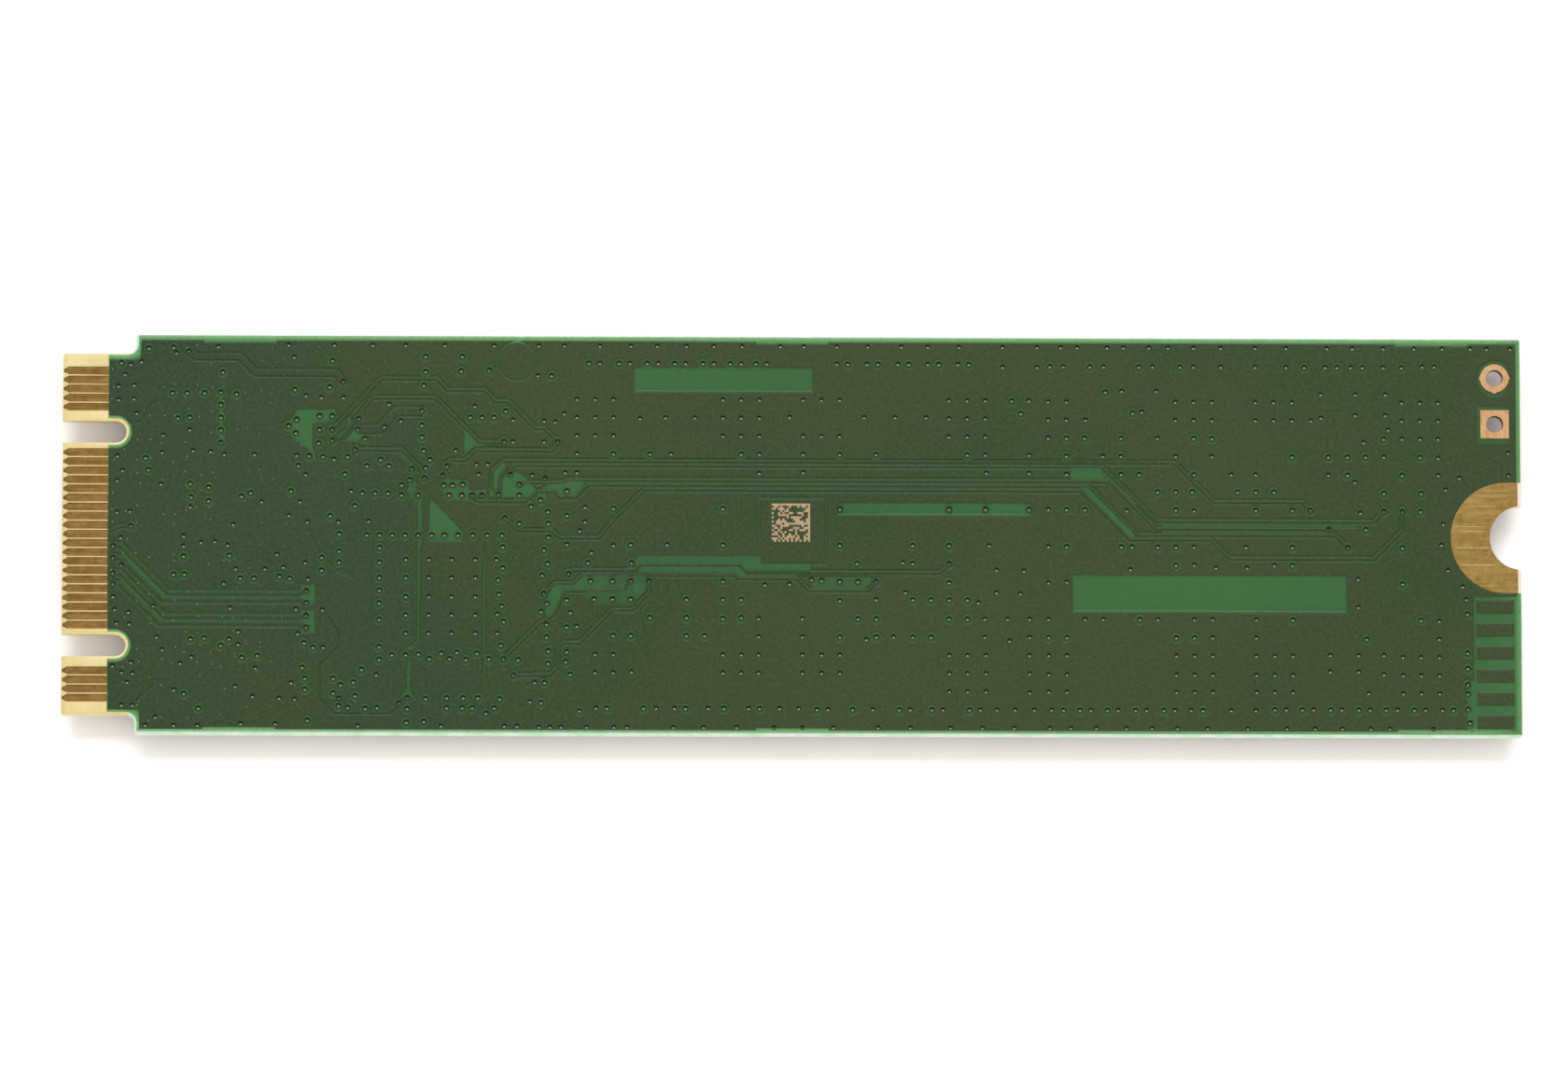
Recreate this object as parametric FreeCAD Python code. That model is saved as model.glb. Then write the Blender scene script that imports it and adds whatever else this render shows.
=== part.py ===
import FreeCAD
import Part
import math
import os

Vector = FreeCAD.Vector

# M.2 solid state drive card, lying on the faces of its flash packages with its back upward.
# Lengths are in millimetres. Plan positions are measured from the connector edge along the
# card (x) and from its centre line (y). The finished model is centred on x.

# Board
BOARD_LENGTH = 80.0
LAMINATE_THICKNESS = 0.72
COPPER_THICKNESS = 0.04
BOARD_CORNER_RADIUS = 0.15

# Edge connector: odd pins on the component side, even pins on the back
PIN_COUNT = 75
PIN_PITCH = 0.5
CONTACT_WIDTH = 0.35
CONTACT_LENGTH = 2.15
CONTACT_SETBACK = 0.05
BEVEL_LENGTH = 0.25
BEVEL_DEPTH = 0.15
KEY_B_PINS = (12, 19)
KEY_M_PINS = (59, 66)
KEY_SLOT_WIDTH = 1.2
KEY_SLOT_DEPTH = 3.5
TONGUE_MARGIN = 0.5
TONGUE_LENGTH = 4.0
SHOULDER_STEP = 1.075
SHOULDER_FILLET = 0.5

# Half-round screw notch and its pads
NOTCH_RADIUS = 1.75
BACK_PAD_MARGIN = 1.3
BACK_PAD_SETBACK = 0.85
FRONT_PAD_MARGIN = 1.0
FRONT_PAD_SETBACK = 0.3
SCREW_PAD_END_GAP = 0.2

# Two-pin header beside the notch
HEADER_HOLE_RADIUS = 0.5
HEADER_LAND_RING = 0.28
HEADER_PITCH = 2.54
HEADER_END_DISTANCE = 1.43
HEADER_SIDE_DISTANCE = 2.18
HEADER_CLEARANCE = 0.22

# Mask-covered test pads below the notch
TEST_PAD_COUNT = 6
TEST_PAD_PITCH = 1.27
TEST_PAD_LENGTH = 2.05
TEST_PAD_WIDTH = 0.75
TEST_PAD_END_DISTANCE = 0.45
TEST_PAD_SIDE_DISTANCE = 0.85
TEST_PAD_CLEARANCE = 0.18

# Copper pour
COPPER_PULLBACK = 0.3
TAB_PULLBACK = 0.42
TAB_LENGTH = 4.0
TAB_CENTRES = (9.7, 39.95, 75.1)
MASK_MARGIN = 0.12

# Signal tracks on the back, isolated from the pour by a gap on each side
TRACK_WIDTH = 0.13
TRACK_GAP = 0.1
POWER_TRACK_WIDTH = 0.42
PAIR_TRACK_WIDTH = 0.2
PAIR_TRACK_GAP = 0.13

# Differential pairs: level at the contacts' vias, level along the run, level at the far vias
PAIR_LEVELS = (
    (-0.65, -3.25, -3.08),
    (-1.30, -3.60, -3.75),
    (-2.15, -4.55, -4.42),
    (-2.75, -4.90, -5.10),
)
PAIR_START = 2.8
PAIR_BEND = 3.2
PAIR_STRAIGHT_END = 13.0
PAIR_END = 13.35

# Routes of the other tracks, from via to via
POWER_ROUTE = ((16.15, 5.8), (17.3, 5.8), (18.25, 6.8), (19.65, 6.8))
SIGNAL_ROUTES = (
    ((6.9, 10.1), (7.25, 9.77), (9.65, 9.77), (10.55, 8.87), (14.9, 8.87), (15.35, 8.45)),
    ((14.75, 5.8), (15.5, 6.6), (17.45, 8.62), (20.45, 8.62), (21.05, 8.0), (23.1, 8.0),
     (23.7, 7.38), (24.4, 7.38), (25.85, 5.9), (26.35, 5.9), (27.1, 5.15)),
    ((14.75, 5.2), (15.3, 5.35), (16.95, 7.56), (20.4, 7.56), (22.8, 5.12), (24.15, 5.12)),
    ((16.0, 4.7), (18.55, 4.7), (19.5, 3.75), (19.8, 3.15)),
    ((20.8, 3.3), (20.8, 3.75), (21.2, 4.13), (22.05, 4.13), (22.6, 4.68), (26.5, 4.68)),
    ((23.85, 2.25), (23.5, 2.6), (23.5, 3.5), (24.1, 4.1), (60.95, 4.1), (63.1, 1.95),
     (67.95, 1.95), (68.4, 1.5)),
    ((24.5, 3.35), (24.5, 3.65), (24.75, 3.87), (56.95, 3.87), (59.95, 0.88), (71.9, 0.88),
     (72.45, 1.45)),
    ((25.0, 2.8), (25.2, 2.9), (27.4, 2.9), (27.56, 3.06), (57.3, 3.06), (59.9, 0.46), (69.4, 0.46)),
    ((22.4, 2.2), (22.75, 1.87), (25.35, 1.87), (25.9, 2.42), (26.9, 2.42), (27.22, 2.1),
     (28.05, 2.1), (28.75, 2.8), (56.2, 2.8), (58.88, 0.12), (69.75, 0.12), (70.45, -0.55)),
    ((24.2, 0.95), (24.9, 0.27), (26.8, 0.27), (27.2, -0.12), (29.35, -0.12), (30.2, 0.9),
     (31.87, 2.55), (55.8, 2.55), (58.48, -0.13), (62.9, -0.13), (63.95, -1.17), (71.9, -1.17),
     (73.45, 0.4), (73.45, 1.45)),
    ((27.7, -2.1), (27.95, -1.9), (31.35, -1.9), (31.65, -1.6), (37.05, -1.6), (37.45, -2.0),
     (48.05, -2.0), (48.55, -1.5)),
    ((26.35, -3.2), (26.95, -2.65), (27.95, -2.65), (28.45, -2.15), (36.8, -2.15), (36.98, -2.33),
     (40.2, -2.33), (40.85, -2.98), (44.1, -2.98), (44.55, -2.5)),
    ((24.15, -6.8), (26.1, -4.85), (26.95, -4.3), (27.5, -3.05), (30.7, -3.0), (31.1, -2.5)),
    ((24.7, -7.7), (26.7, -7.65), (27.1, -7.25), (27.1, -6.2), (27.4, -5.9), (28.3, -5.9),
     (30.1, -4.08), (31.2, -4.08), (32.1, -3.15), (32.1, -2.5)),
)

# Copper-free windows on the back: low corner, high corner
WINDOWS = (
    ((31.25, 7.92), (41.1, 9.27)),
    ((55.3, -4.15), (70.4, -2.1)),
    ((42.4, 1.15), (53.1, 1.87)),
    ((55.2, 3.2), (57.15, 3.75)),
    ((12.95, 4.9), (13.7, 6.9)),
)
WEDGE_WINDOWS = (
    ((20.1, 2.1), (22.0, 0.15), (21.9, -0.35), (20.0, -0.35)),
    ((21.95, 5.9), (21.95, 4.4), (22.5, 4.85), (24.0, 4.9), (22.75, 4.98)),
    ((28.1, -2.7), (28.5, -2.25), (32.0, -2.25), (31.9, -3.05), (31.1, -3.9), (29.0, -3.75)),
    ((40.45, -2.18), (44.3, -2.18), (44.3, -2.5), (43.95, -2.85), (41.05, -2.85)),
)
CODE_FRAME = ((38.05, -1.6), (41.85, 2.15))
CODE_FRAME_CHANNEL = 0.13
RING_MARK_CENTRE = (24.85, 9.6)
RING_MARK_RADIUS = 1.12
RING_MARK_CHANNEL = 0.1

# Flash packages in a row along the card
FLASH_LENGTH = 12.0
FLASH_WIDTH = 18.0
FLASH_THICKNESS = 1.0
FLASH_GAP = 0.43
FLASH_ROW_END_DISTANCE = 3.56
CONTROLLER_ZONE = 27.0
FLASH_OFFSET = -0.55
FLASH_BALL_PITCH = 1.0
FLASH_BALL_MARGIN = 0.9

# Controller and working memory beside the row
CONTROLLER_SIZE = 10.5
CONTROLLER_THICKNESS = 0.9
CONTROLLER_FLASH_GAP = 1.2
CONTROLLER_OFFSET = -3.35
MEMORY_LENGTH = 10.5
MEMORY_WIDTH = 8.0
MEMORY_THICKNESS = 0.8
MEMORY_GAP = 0.6
FINE_BALL_PITCH = 0.8
FINE_BALL_MARGIN = 0.8

# What all moulded packages share
SUBSTRATE_THICKNESS = 0.2
BALL_HEIGHT = 0.3
BALL_RADIUS = 0.22
BALL_SIDES = 4

# Power management chip with short lead ends along its four sides
POWER_CHIP_SIZE = 4.0
POWER_CHIP_THICKNESS = 0.85
POWER_CHIP_GAP = 0.6
POWER_LEAD_PITCH = 0.5
POWER_LEAD_WIDTH = 0.25
POWER_LEAD_REACH = 0.06
POWER_LEAD_THICKNESS = 0.2
POWER_LEAD_CORNER_GAP = 0.4

# Power inductors and their bulk capacitors, in pairs
INDUCTOR_LENGTH = 2.5
INDUCTOR_WIDTH = 2.0
INDUCTOR_HEIGHT = 1.0
INDUCTOR_TERMINAL = 0.5
INDUCTOR_GAP = 1.15
BULK_CAP_LENGTH = 2.0
BULK_CAP_WIDTH = 1.25
BULK_CAP_HEIGHT = 0.9
BULK_CAP_TERMINAL = 0.45
BULK_CAP_GAP = 1.45
POWER_PAIR_COUNT = 3
POWER_PAIR_SPACING = 0.6
POWER_PAIR_SIDE_DISTANCE = 0.9

# Load switch and quartz crystal
SWITCH_SIZE = 2.0
SWITCH_HEIGHT = 0.75
SWITCH_GAP = 2.25
SWITCH_SIDE_DISTANCE = 2.4
CRYSTAL_LENGTH = 2.5
CRYSTAL_WIDTH = 2.0
CRYSTAL_BASE_HEIGHT = 0.3
CRYSTAL_LID_HEIGHT = 0.25
CRYSTAL_LID_INSET = 0.15
CRYSTAL_GAP = 2.9
CRYSTAL_SIDE_DISTANCE = 1.8

# Small ceramic capacitors and resistors
CHIP_LENGTH = 1.0
CHIP_WIDTH = 0.5
CHIP_HEIGHT = 0.5
CHIP_TERMINAL = 0.25
RESISTOR_HEIGHT = 0.35
CAP_SPACING = 0.9
PAIR_CAP_GAP = 0.55
RESISTOR_COUNT = 5
RESISTOR_SPACING = 0.6
RESISTOR_GAP = 1.45

# Sizes that follow from those above
TONGUE_WIDTH = (PIN_COUNT - 1) / 2 * PIN_PITCH + CONTACT_WIDTH + 2 * TONGUE_MARGIN
BOARD_WIDTH = TONGUE_WIDTH + 2 * SHOULDER_STEP
HALF_WIDTH = BOARD_WIDTH / 2
HALF_TONGUE = TONGUE_WIDTH / 2
CONTACT_START = BEVEL_LENGTH + CONTACT_SETBACK
CONTACT_END = CONTACT_START + CONTACT_LENGTH
HEADER_X = BOARD_LENGTH - HEADER_END_DISTANCE
HEADER_ROUND_Y = HALF_WIDTH - HEADER_SIDE_DISTANCE
HEADER_SQUARE_Y = HEADER_ROUND_Y - HEADER_PITCH
HEADER_LAND_RADIUS = HEADER_HOLE_RADIUS + HEADER_LAND_RING
TEST_PAD_FIRST_Y = -HALF_WIDTH + TEST_PAD_SIDE_DISTANCE
TEST_PAD_X = BOARD_LENGTH - TEST_PAD_END_DISTANCE - TEST_PAD_LENGTH

# As many flash packages as there is room for, up to the screw end; the rest follows towards the connector
FLASH_PITCH = FLASH_LENGTH + FLASH_GAP
FLASH_ROW_END = BOARD_LENGTH - FLASH_ROW_END_DISTANCE
FLASH_COUNT = int((FLASH_ROW_END - CONTROLLER_ZONE + FLASH_GAP) / FLASH_PITCH)
FLASH_ROW_START = FLASH_ROW_END - FLASH_COUNT * FLASH_PITCH + FLASH_GAP
CAP_PITCH = CHIP_LENGTH + CAP_SPACING
CAPS_PER_FLASH = int((FLASH_LENGTH - CHIP_LENGTH) / CAP_PITCH)
CONTROLLER_X = FLASH_ROW_START - CONTROLLER_FLASH_GAP - CONTROLLER_SIZE / 2
CONTROLLER_START = CONTROLLER_X - CONTROLLER_SIZE / 2
MEMORY_Y = CONTROLLER_OFFSET + CONTROLLER_SIZE / 2 + MEMORY_GAP + MEMORY_WIDTH / 2
PAIR_CAP_X = CONTROLLER_START - PAIR_CAP_GAP - CHIP_LENGTH / 2
RESISTOR_X = CONTROLLER_X - MEMORY_LENGTH / 2 - RESISTOR_GAP - CHIP_LENGTH / 2
INDUCTOR_X = RESISTOR_X - CHIP_LENGTH / 2 - INDUCTOR_GAP - INDUCTOR_LENGTH / 2
BULK_CAP_X = INDUCTOR_X - INDUCTOR_LENGTH / 2 - BULK_CAP_GAP - BULK_CAP_LENGTH / 2
POWER_PAIR_WIDTH = max(INDUCTOR_WIDTH, BULK_CAP_WIDTH)
POWER_PAIR_PITCH = POWER_PAIR_WIDTH + POWER_PAIR_SPACING
POWER_PAIR_TOP_Y = HALF_WIDTH - POWER_PAIR_SIDE_DISTANCE - POWER_PAIR_WIDTH / 2
POWER_PAIRS_LOW = POWER_PAIR_TOP_Y - (POWER_PAIR_COUNT - 1) * POWER_PAIR_PITCH - POWER_PAIR_WIDTH / 2
POWER_CHIP_X = (INDUCTOR_X + BULK_CAP_X) / 2
POWER_CHIP_Y = POWER_PAIRS_LOW - POWER_CHIP_GAP - POWER_LEAD_REACH - POWER_CHIP_SIZE / 2
CRYSTAL_X = CONTROLLER_START - CRYSTAL_GAP - CRYSTAL_LENGTH / 2
CRYSTAL_Y = -HALF_WIDTH + CRYSTAL_SIDE_DISTANCE + CRYSTAL_WIDTH / 2
SWITCH_X = CRYSTAL_X - CRYSTAL_LENGTH / 2 - SWITCH_GAP - SWITCH_SIZE / 2
SWITCH_Y = -HALF_WIDTH + SWITCH_SIDE_DISTANCE + SWITCH_SIZE / 2

# Levels, from the table up
FRONT_Z = max(
    BALL_HEIGHT + max(FLASH_THICKNESS, CONTROLLER_THICKNESS, MEMORY_THICKNESS),
    POWER_CHIP_THICKNESS,
    INDUCTOR_HEIGHT,
    BULK_CAP_HEIGHT,
    CHIP_HEIGHT,
)
LAMINATE_Z = FRONT_Z + COPPER_THICKNESS
BACK_COPPER_Z = LAMINATE_Z + LAMINATE_THICKNESS
BACK_Z = BACK_COPPER_Z + COPPER_THICKNESS


def polygon(points):
    """Flat face inside a closed run of straight edges."""
    corners = [Vector(x, y, 0) for x, y in points]
    return Part.Face(Part.makePolygon(corners + corners[:1]))


def rectangle(low, high):
    """Flat face between two opposite corners."""
    return polygon((low, (high[0], low[1]), high, (low[0], high[1])))


def disc(x, y, radius):
    """Flat round face."""
    return Part.Face(Part.Wire(Part.makeCircle(radius, Vector(x, y, 0))))


def prism(face, bottom, height):
    """Solid over a flat face, from a level up."""
    solid = face.extrude(Vector(0, 0, height))
    solid.translate(Vector(0, 0, bottom))
    return solid


def block(x, y, bottom, size_x, size_y, size_z):
    """Box centred on a plan position."""
    return Part.makeBox(size_x, size_y, size_z, Vector(x - size_x / 2, y - size_y / 2, bottom))


def rounded(corners):
    """Flat face whose corners, given as x, y and radius, are eased by tangent arcs."""
    edges = []
    starts = []
    ends = []
    for i, (x, y, radius) in enumerate(corners):
        here = Vector(x, y, 0)
        before = Vector(corners[i - 1][0], corners[i - 1][1], 0) - here
        after_corner = corners[(i + 1) % len(corners)]
        after = Vector(after_corner[0], after_corner[1], 0) - here
        before.normalize()
        after.normalize()
        half_angle = before.getAngle(after) / 2
        reach = radius / math.tan(half_angle)
        middle = before + after
        middle.normalize()
        start = here + before * reach
        end = here + after * reach
        top = here + middle * (radius / math.sin(half_angle) - radius)
        starts.append(start)
        ends.append(end)
        edges.append(Part.Arc(start, top, end).toShape())
    for i, end in enumerate(ends):
        edges.append(Part.LineSegment(end, starts[(i + 1) % len(starts)]).toShape())
    return Part.Face(Part.Wire(Part.__sortEdges__(edges)))


def strip(route, width):
    """Flat track of one width along straight runs, mitred where they turn."""
    points = [Vector(x, y, 0) for x, y in route]
    runs = [(b - a).normalize() for a, b in zip(points, points[1:])]
    left = []
    right = []
    for i, point in enumerate(points):
        arriving = runs[max(i - 1, 0)]
        leaving = runs[min(i, len(runs) - 1)]
        along = (arriving + leaving).normalize()
        across = Vector(-along.y, along.x, 0) * (width / 2 / along.dot(leaving))
        left.append(point + across)
        right.append(point - across)
    return polygon([(p.x, p.y) for p in left + right[::-1]])


def round_ended(root_x, y, width, end_x):
    """Flat face of one width from a straight edge across the card to a full round end."""
    reach = width / 2
    turn_x = end_x - math.copysign(reach, end_x - root_x)
    low_root = Vector(root_x, y - reach, 0)
    low_turn = Vector(turn_x, y - reach, 0)
    high_turn = Vector(turn_x, y + reach, 0)
    high_root = Vector(root_x, y + reach, 0)
    edges = [
        Part.LineSegment(low_root, low_turn),
        Part.Arc(low_turn, Vector(end_x, y, 0), high_turn),
        Part.LineSegment(high_turn, high_root),
        Part.LineSegment(high_root, low_root),
    ]
    return Part.Face(Part.Wire([edge.toShape() for edge in edges]))


def lengthened(route, extra):
    """Route with its first and last runs made longer."""
    points = [Vector(x, y, 0) for x, y in route]
    points[0] += (points[0] - points[1]).normalize() * extra
    points[-1] += (points[-1] - points[-2]).normalize() * extra
    return [(p.x, p.y) for p in points]


def pin_y(pin):
    """Level of a connector pin; odd pins start half a pitch before even ones."""
    return (PIN_COUNT - 1) / 4 * PIN_PITCH - (pin - 1) / 2 * PIN_PITCH


def key_y(pins):
    """Centre of a key slot, midway over the pins that it takes away."""
    return (pin_y(pins[0]) + pin_y(pins[1])) / 2


def screw_pad_face(margin, setback):
    """Round pad about the notch, run out straight towards the end of the board."""
    radius = NOTCH_RADIUS + margin
    tip_x = BOARD_LENGTH - setback - radius
    return round_ended(BOARD_LENGTH - SCREW_PAD_END_GAP, 0, 2 * radius, tip_x)


def notch_face():
    """Half-round screw notch as a full disc about the end of the board."""
    return disc(BOARD_LENGTH, 0, NOTCH_RADIUS)


def header_square(half_side):
    """Square face about the second header hole."""
    low = (HEADER_X - half_side, HEADER_SQUARE_Y - half_side)
    high = (HEADER_X + half_side, HEADER_SQUARE_Y + half_side)
    return rectangle(low, high)


def circuit_board():
    """Laminate with tongue, key slots, screw notch and header holes."""
    corner = BOARD_CORNER_RADIUS
    outline = rounded((
        (0, -HALF_TONGUE, corner),
        (TONGUE_LENGTH, -HALF_TONGUE, SHOULDER_FILLET),
        (TONGUE_LENGTH, -HALF_WIDTH, corner),
        (BOARD_LENGTH, -HALF_WIDTH, corner),
        (BOARD_LENGTH, HALF_WIDTH, corner),
        (TONGUE_LENGTH, HALF_WIDTH, corner),
        (TONGUE_LENGTH, HALF_TONGUE, SHOULDER_FILLET),
        (0, HALF_TONGUE, corner),
    ))
    outline = outline.cut([
        round_ended(0, key_y(KEY_B_PINS), KEY_SLOT_WIDTH, KEY_SLOT_DEPTH),
        round_ended(0, key_y(KEY_M_PINS), KEY_SLOT_WIDTH, KEY_SLOT_DEPTH),
        notch_face(),
        disc(HEADER_X, HEADER_ROUND_Y, HEADER_HOLE_RADIUS),
        disc(HEADER_X, HEADER_SQUARE_Y, HEADER_HOLE_RADIUS),
    ])
    board = prism(outline, LAMINATE_Z, LAMINATE_THICKNESS)
    bevels = []
    for face_z, inward in ((LAMINATE_Z, 1), (BACK_COPPER_Z, -1)):
        corners = [
            Vector(0, -HALF_WIDTH, face_z),
            Vector(BEVEL_LENGTH, -HALF_WIDTH, face_z),
            Vector(0, -HALF_WIDTH, face_z + inward * BEVEL_DEPTH),
        ]
        wedge = Part.Face(Part.makePolygon(corners + corners[:1]))
        bevels.append(wedge.extrude(Vector(0, BOARD_WIDTH, 0)))
    return board.cut(bevels)


def edge_contacts(first_pin, bottom):
    """Gold contacts on one face: every second pin, without those that the keys take away."""
    contacts = []
    for pin in range(first_pin, PIN_COUNT + 1, 2):
        keyed = any(low <= pin <= high for low, high in (KEY_B_PINS, KEY_M_PINS))
        if not keyed:
            middle = (CONTACT_START + CONTACT_END) / 2
            contacts.append(block(middle, pin_y(pin), bottom, CONTACT_LENGTH, CONTACT_WIDTH, COPPER_THICKNESS))
    return contacts


def copper_zone(screw_pad):
    """Where copper may lie on a face, clear of the edges, the slots and that face's plated lands."""
    start = CONTACT_END + MASK_MARGIN
    end = BOARD_LENGTH - COPPER_PULLBACK
    tongue = HALF_TONGUE - COPPER_PULLBACK
    side = HALF_WIDTH - COPPER_PULLBACK
    shoulder = TONGUE_LENGTH + COPPER_PULLBACK
    zone = polygon((
        (start, -tongue), (shoulder, -tongue), (shoulder, -side), (end, -side),
        (end, side), (shoulder, side), (shoulder, tongue), (start, tongue),
    ))
    keep_out = [screw_pad, notch_face(), header_square(HEADER_LAND_RADIUS + HEADER_CLEARANCE)]
    keep_out.append(disc(HEADER_X, HEADER_ROUND_Y, HEADER_LAND_RADIUS + HEADER_CLEARANCE))
    for pins in (KEY_B_PINS, KEY_M_PINS):
        width = KEY_SLOT_WIDTH + 2 * COPPER_PULLBACK
        keep_out.append(round_ended(0, key_y(pins), width, KEY_SLOT_DEPTH + COPPER_PULLBACK))
    for centre in TAB_CENTRES:
        for edge in (-HALF_WIDTH, HALF_WIDTH):
            low = (centre - TAB_LENGTH / 2, edge - TAB_PULLBACK)
            high = (centre + TAB_LENGTH / 2, edge + TAB_PULLBACK)
            keep_out.append(rectangle(low, high))
    return zone.cut(keep_out)


def test_pad_window():
    """Copper-free window round the test pads, open to the end of the board."""
    top_y = TEST_PAD_FIRST_Y + (TEST_PAD_COUNT - 1) * TEST_PAD_PITCH
    reach = TEST_PAD_WIDTH / 2 + TEST_PAD_CLEARANCE
    low = (TEST_PAD_X - TEST_PAD_CLEARANCE, TEST_PAD_FIRST_Y - reach)
    return rectangle(low, (BOARD_LENGTH, top_y + reach))


def all_tracks():
    """Every back track as its route, its width and the gap beside it."""
    tracks = [(route, TRACK_WIDTH, TRACK_GAP) for route in SIGNAL_ROUTES]
    tracks.append((POWER_ROUTE, POWER_TRACK_WIDTH, TRACK_GAP))
    for start_y, run_y, end_y in PAIR_LEVELS:
        route = (
            (PAIR_START, start_y),
            (PAIR_BEND, start_y),
            (PAIR_BEND + start_y - run_y, run_y),
            (PAIR_STRAIGHT_END, run_y),
            (PAIR_END, end_y),
        )
        tracks.append((route, PAIR_TRACK_WIDTH, PAIR_TRACK_GAP))
    return tracks


def ring(low, high, channel):
    """Rectangular channel just inside two corners."""
    inner_low = (low[0] + channel, low[1] + channel)
    inner_high = (high[0] - channel, high[1] - channel)
    return rectangle(low, high).cut(rectangle(inner_low, inner_high))


def back_copper(screw_pad):
    """Pour on the back with its windows and channels, and the tracks that lie in the channels."""
    zone = copper_zone(screw_pad).cut(test_pad_window())
    openings = [rectangle(low, high) for low, high in WINDOWS]
    openings += [polygon(points) for points in WEDGE_WINDOWS]
    openings.append(ring(*CODE_FRAME, CODE_FRAME_CHANNEL))
    mark_x, mark_y = RING_MARK_CENTRE
    mark_hole = disc(mark_x, mark_y, RING_MARK_RADIUS - RING_MARK_CHANNEL)
    openings.append(disc(mark_x, mark_y, RING_MARK_RADIUS).cut(mark_hole))
    tracks = []
    for route, width, gap in all_tracks():
        openings.append(strip(lengthened(route, gap), width + 2 * gap))
        tracks += strip(route, width).common(zone).Faces
    pour = zone.cut(openings)
    pour_solids = [prism(face, BACK_COPPER_Z, COPPER_THICKNESS) for face in pour.Faces]
    track_solids = [prism(face, BACK_COPPER_Z, COPPER_THICKNESS) for face in tracks]
    return pour_solids, track_solids


def front_copper(screw_pad):
    """Plain pour on the component side."""
    return [prism(face, FRONT_Z, COPPER_THICKNESS) for face in copper_zone(screw_pad).Faces]


def test_pads():
    """Row of mask-covered pads along the end of the board."""
    pads = []
    for i in range(TEST_PAD_COUNT):
        x = TEST_PAD_X + TEST_PAD_LENGTH / 2
        y = TEST_PAD_FIRST_Y + i * TEST_PAD_PITCH
        pads.append(block(x, y, BACK_COPPER_Z, TEST_PAD_LENGTH, TEST_PAD_WIDTH, COPPER_THICKNESS))
    return pads


def header_lands(y, outline):
    """Land of one shape on each face about a header hole."""
    land = outline.cut(disc(HEADER_X, y, HEADER_HOLE_RADIUS)).Faces[0]
    return [prism(land, bottom, COPPER_THICKNESS) for bottom in (FRONT_Z, BACK_COPPER_Z)]


def package(x, y, size_x, size_y, thickness):
    """Moulded cap and the substrate that it is moulded on."""
    cap_height = thickness - SUBSTRATE_THICKNESS
    cap_bottom = FRONT_Z - BALL_HEIGHT - thickness
    cap = block(x, y, cap_bottom, size_x, size_y, cap_height)
    substrate = block(x, y, cap_bottom + cap_height, size_x, size_y, SUBSTRATE_THICKNESS)
    return cap, substrate


def ball_rows(x, y, size_x, size_y, pitch, margin):
    """Solder balls that show along a package's two long sides, each a short faceted post."""
    columns = int((size_x - 2 * margin) / pitch + 1)
    balls = []
    for column in range(columns):
        ball_x = x + (column - (columns - 1) / 2) * pitch
        for side in (-1, 1):
            ball_y = y + side * (size_y / 2 - margin)
            angles = [2 * math.pi * i / BALL_SIDES for i in range(BALL_SIDES)]
            corners = [
                (ball_x + BALL_RADIUS * math.cos(angle), ball_y + BALL_RADIUS * math.sin(angle))
                for angle in angles
            ]
            balls.append(prism(polygon(corners), FRONT_Z - BALL_HEIGHT, BALL_HEIGHT))
    return balls


def flash_centres():
    """Positions of the flash packages along the card."""
    return [FLASH_ROW_START + FLASH_LENGTH / 2 + i * FLASH_PITCH for i in range(FLASH_COUNT)]


def chip_part(x, y, length, width, height, terminal):
    """Ceramic body between two wrapped end terminals, lying along x."""
    body = block(x, y, FRONT_Z - height, length - 2 * terminal, width, height)
    reach = (length - terminal) / 2
    ends = [block(x + side * reach, y, FRONT_Z - height, terminal, width, height) for side in (-1, 1)]
    return body, ends


def small_capacitors():
    """Decoupling rows along the flash packages and the coupling capacitors of the pairs."""
    places = []
    top_row = (FLASH_OFFSET + FLASH_WIDTH / 2 + HALF_WIDTH) / 2
    bottom_row = (FLASH_OFFSET - FLASH_WIDTH / 2 - HALF_WIDTH) / 2
    for flash_x in flash_centres():
        for i in range(CAPS_PER_FLASH):
            x = flash_x + (i - (CAPS_PER_FLASH - 1) / 2) * CAP_PITCH
            places.append((x, top_row))
            places.append((x, bottom_row))
    for levels in PAIR_LEVELS:
        places.append((PAIR_CAP_X, levels[-1]))
    return [chip_part(x, y, CHIP_LENGTH, CHIP_WIDTH, CHIP_HEIGHT, CHIP_TERMINAL) for x, y in places]


def power_pair_levels():
    """Levels of the inductors and of their bulk capacitors, from the card's side inward."""
    return [POWER_PAIR_TOP_Y - i * POWER_PAIR_PITCH for i in range(POWER_PAIR_COUNT)]


def bulk_capacitors():
    """One bulk capacitor for each inductor."""
    parts = []
    for y in power_pair_levels():
        parts.append(chip_part(
            BULK_CAP_X, y, BULK_CAP_LENGTH, BULK_CAP_WIDTH, BULK_CAP_HEIGHT, BULK_CAP_TERMINAL))
    return parts


def inductors():
    """Moulded power inductors with flat end terminals."""
    parts = []
    for y in power_pair_levels():
        parts.append(chip_part(
            INDUCTOR_X, y, INDUCTOR_LENGTH, INDUCTOR_WIDTH, INDUCTOR_HEIGHT, INDUCTOR_TERMINAL))
    return parts


def resistors():
    """Column of resistors beside the working memory."""
    parts = []
    for i in range(RESISTOR_COUNT):
        y = MEMORY_Y + (i - (RESISTOR_COUNT - 1) / 2) * (CHIP_WIDTH + RESISTOR_SPACING)
        parts.append(chip_part(RESISTOR_X, y, CHIP_LENGTH, CHIP_WIDTH, RESISTOR_HEIGHT, CHIP_TERMINAL))
    return parts


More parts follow.
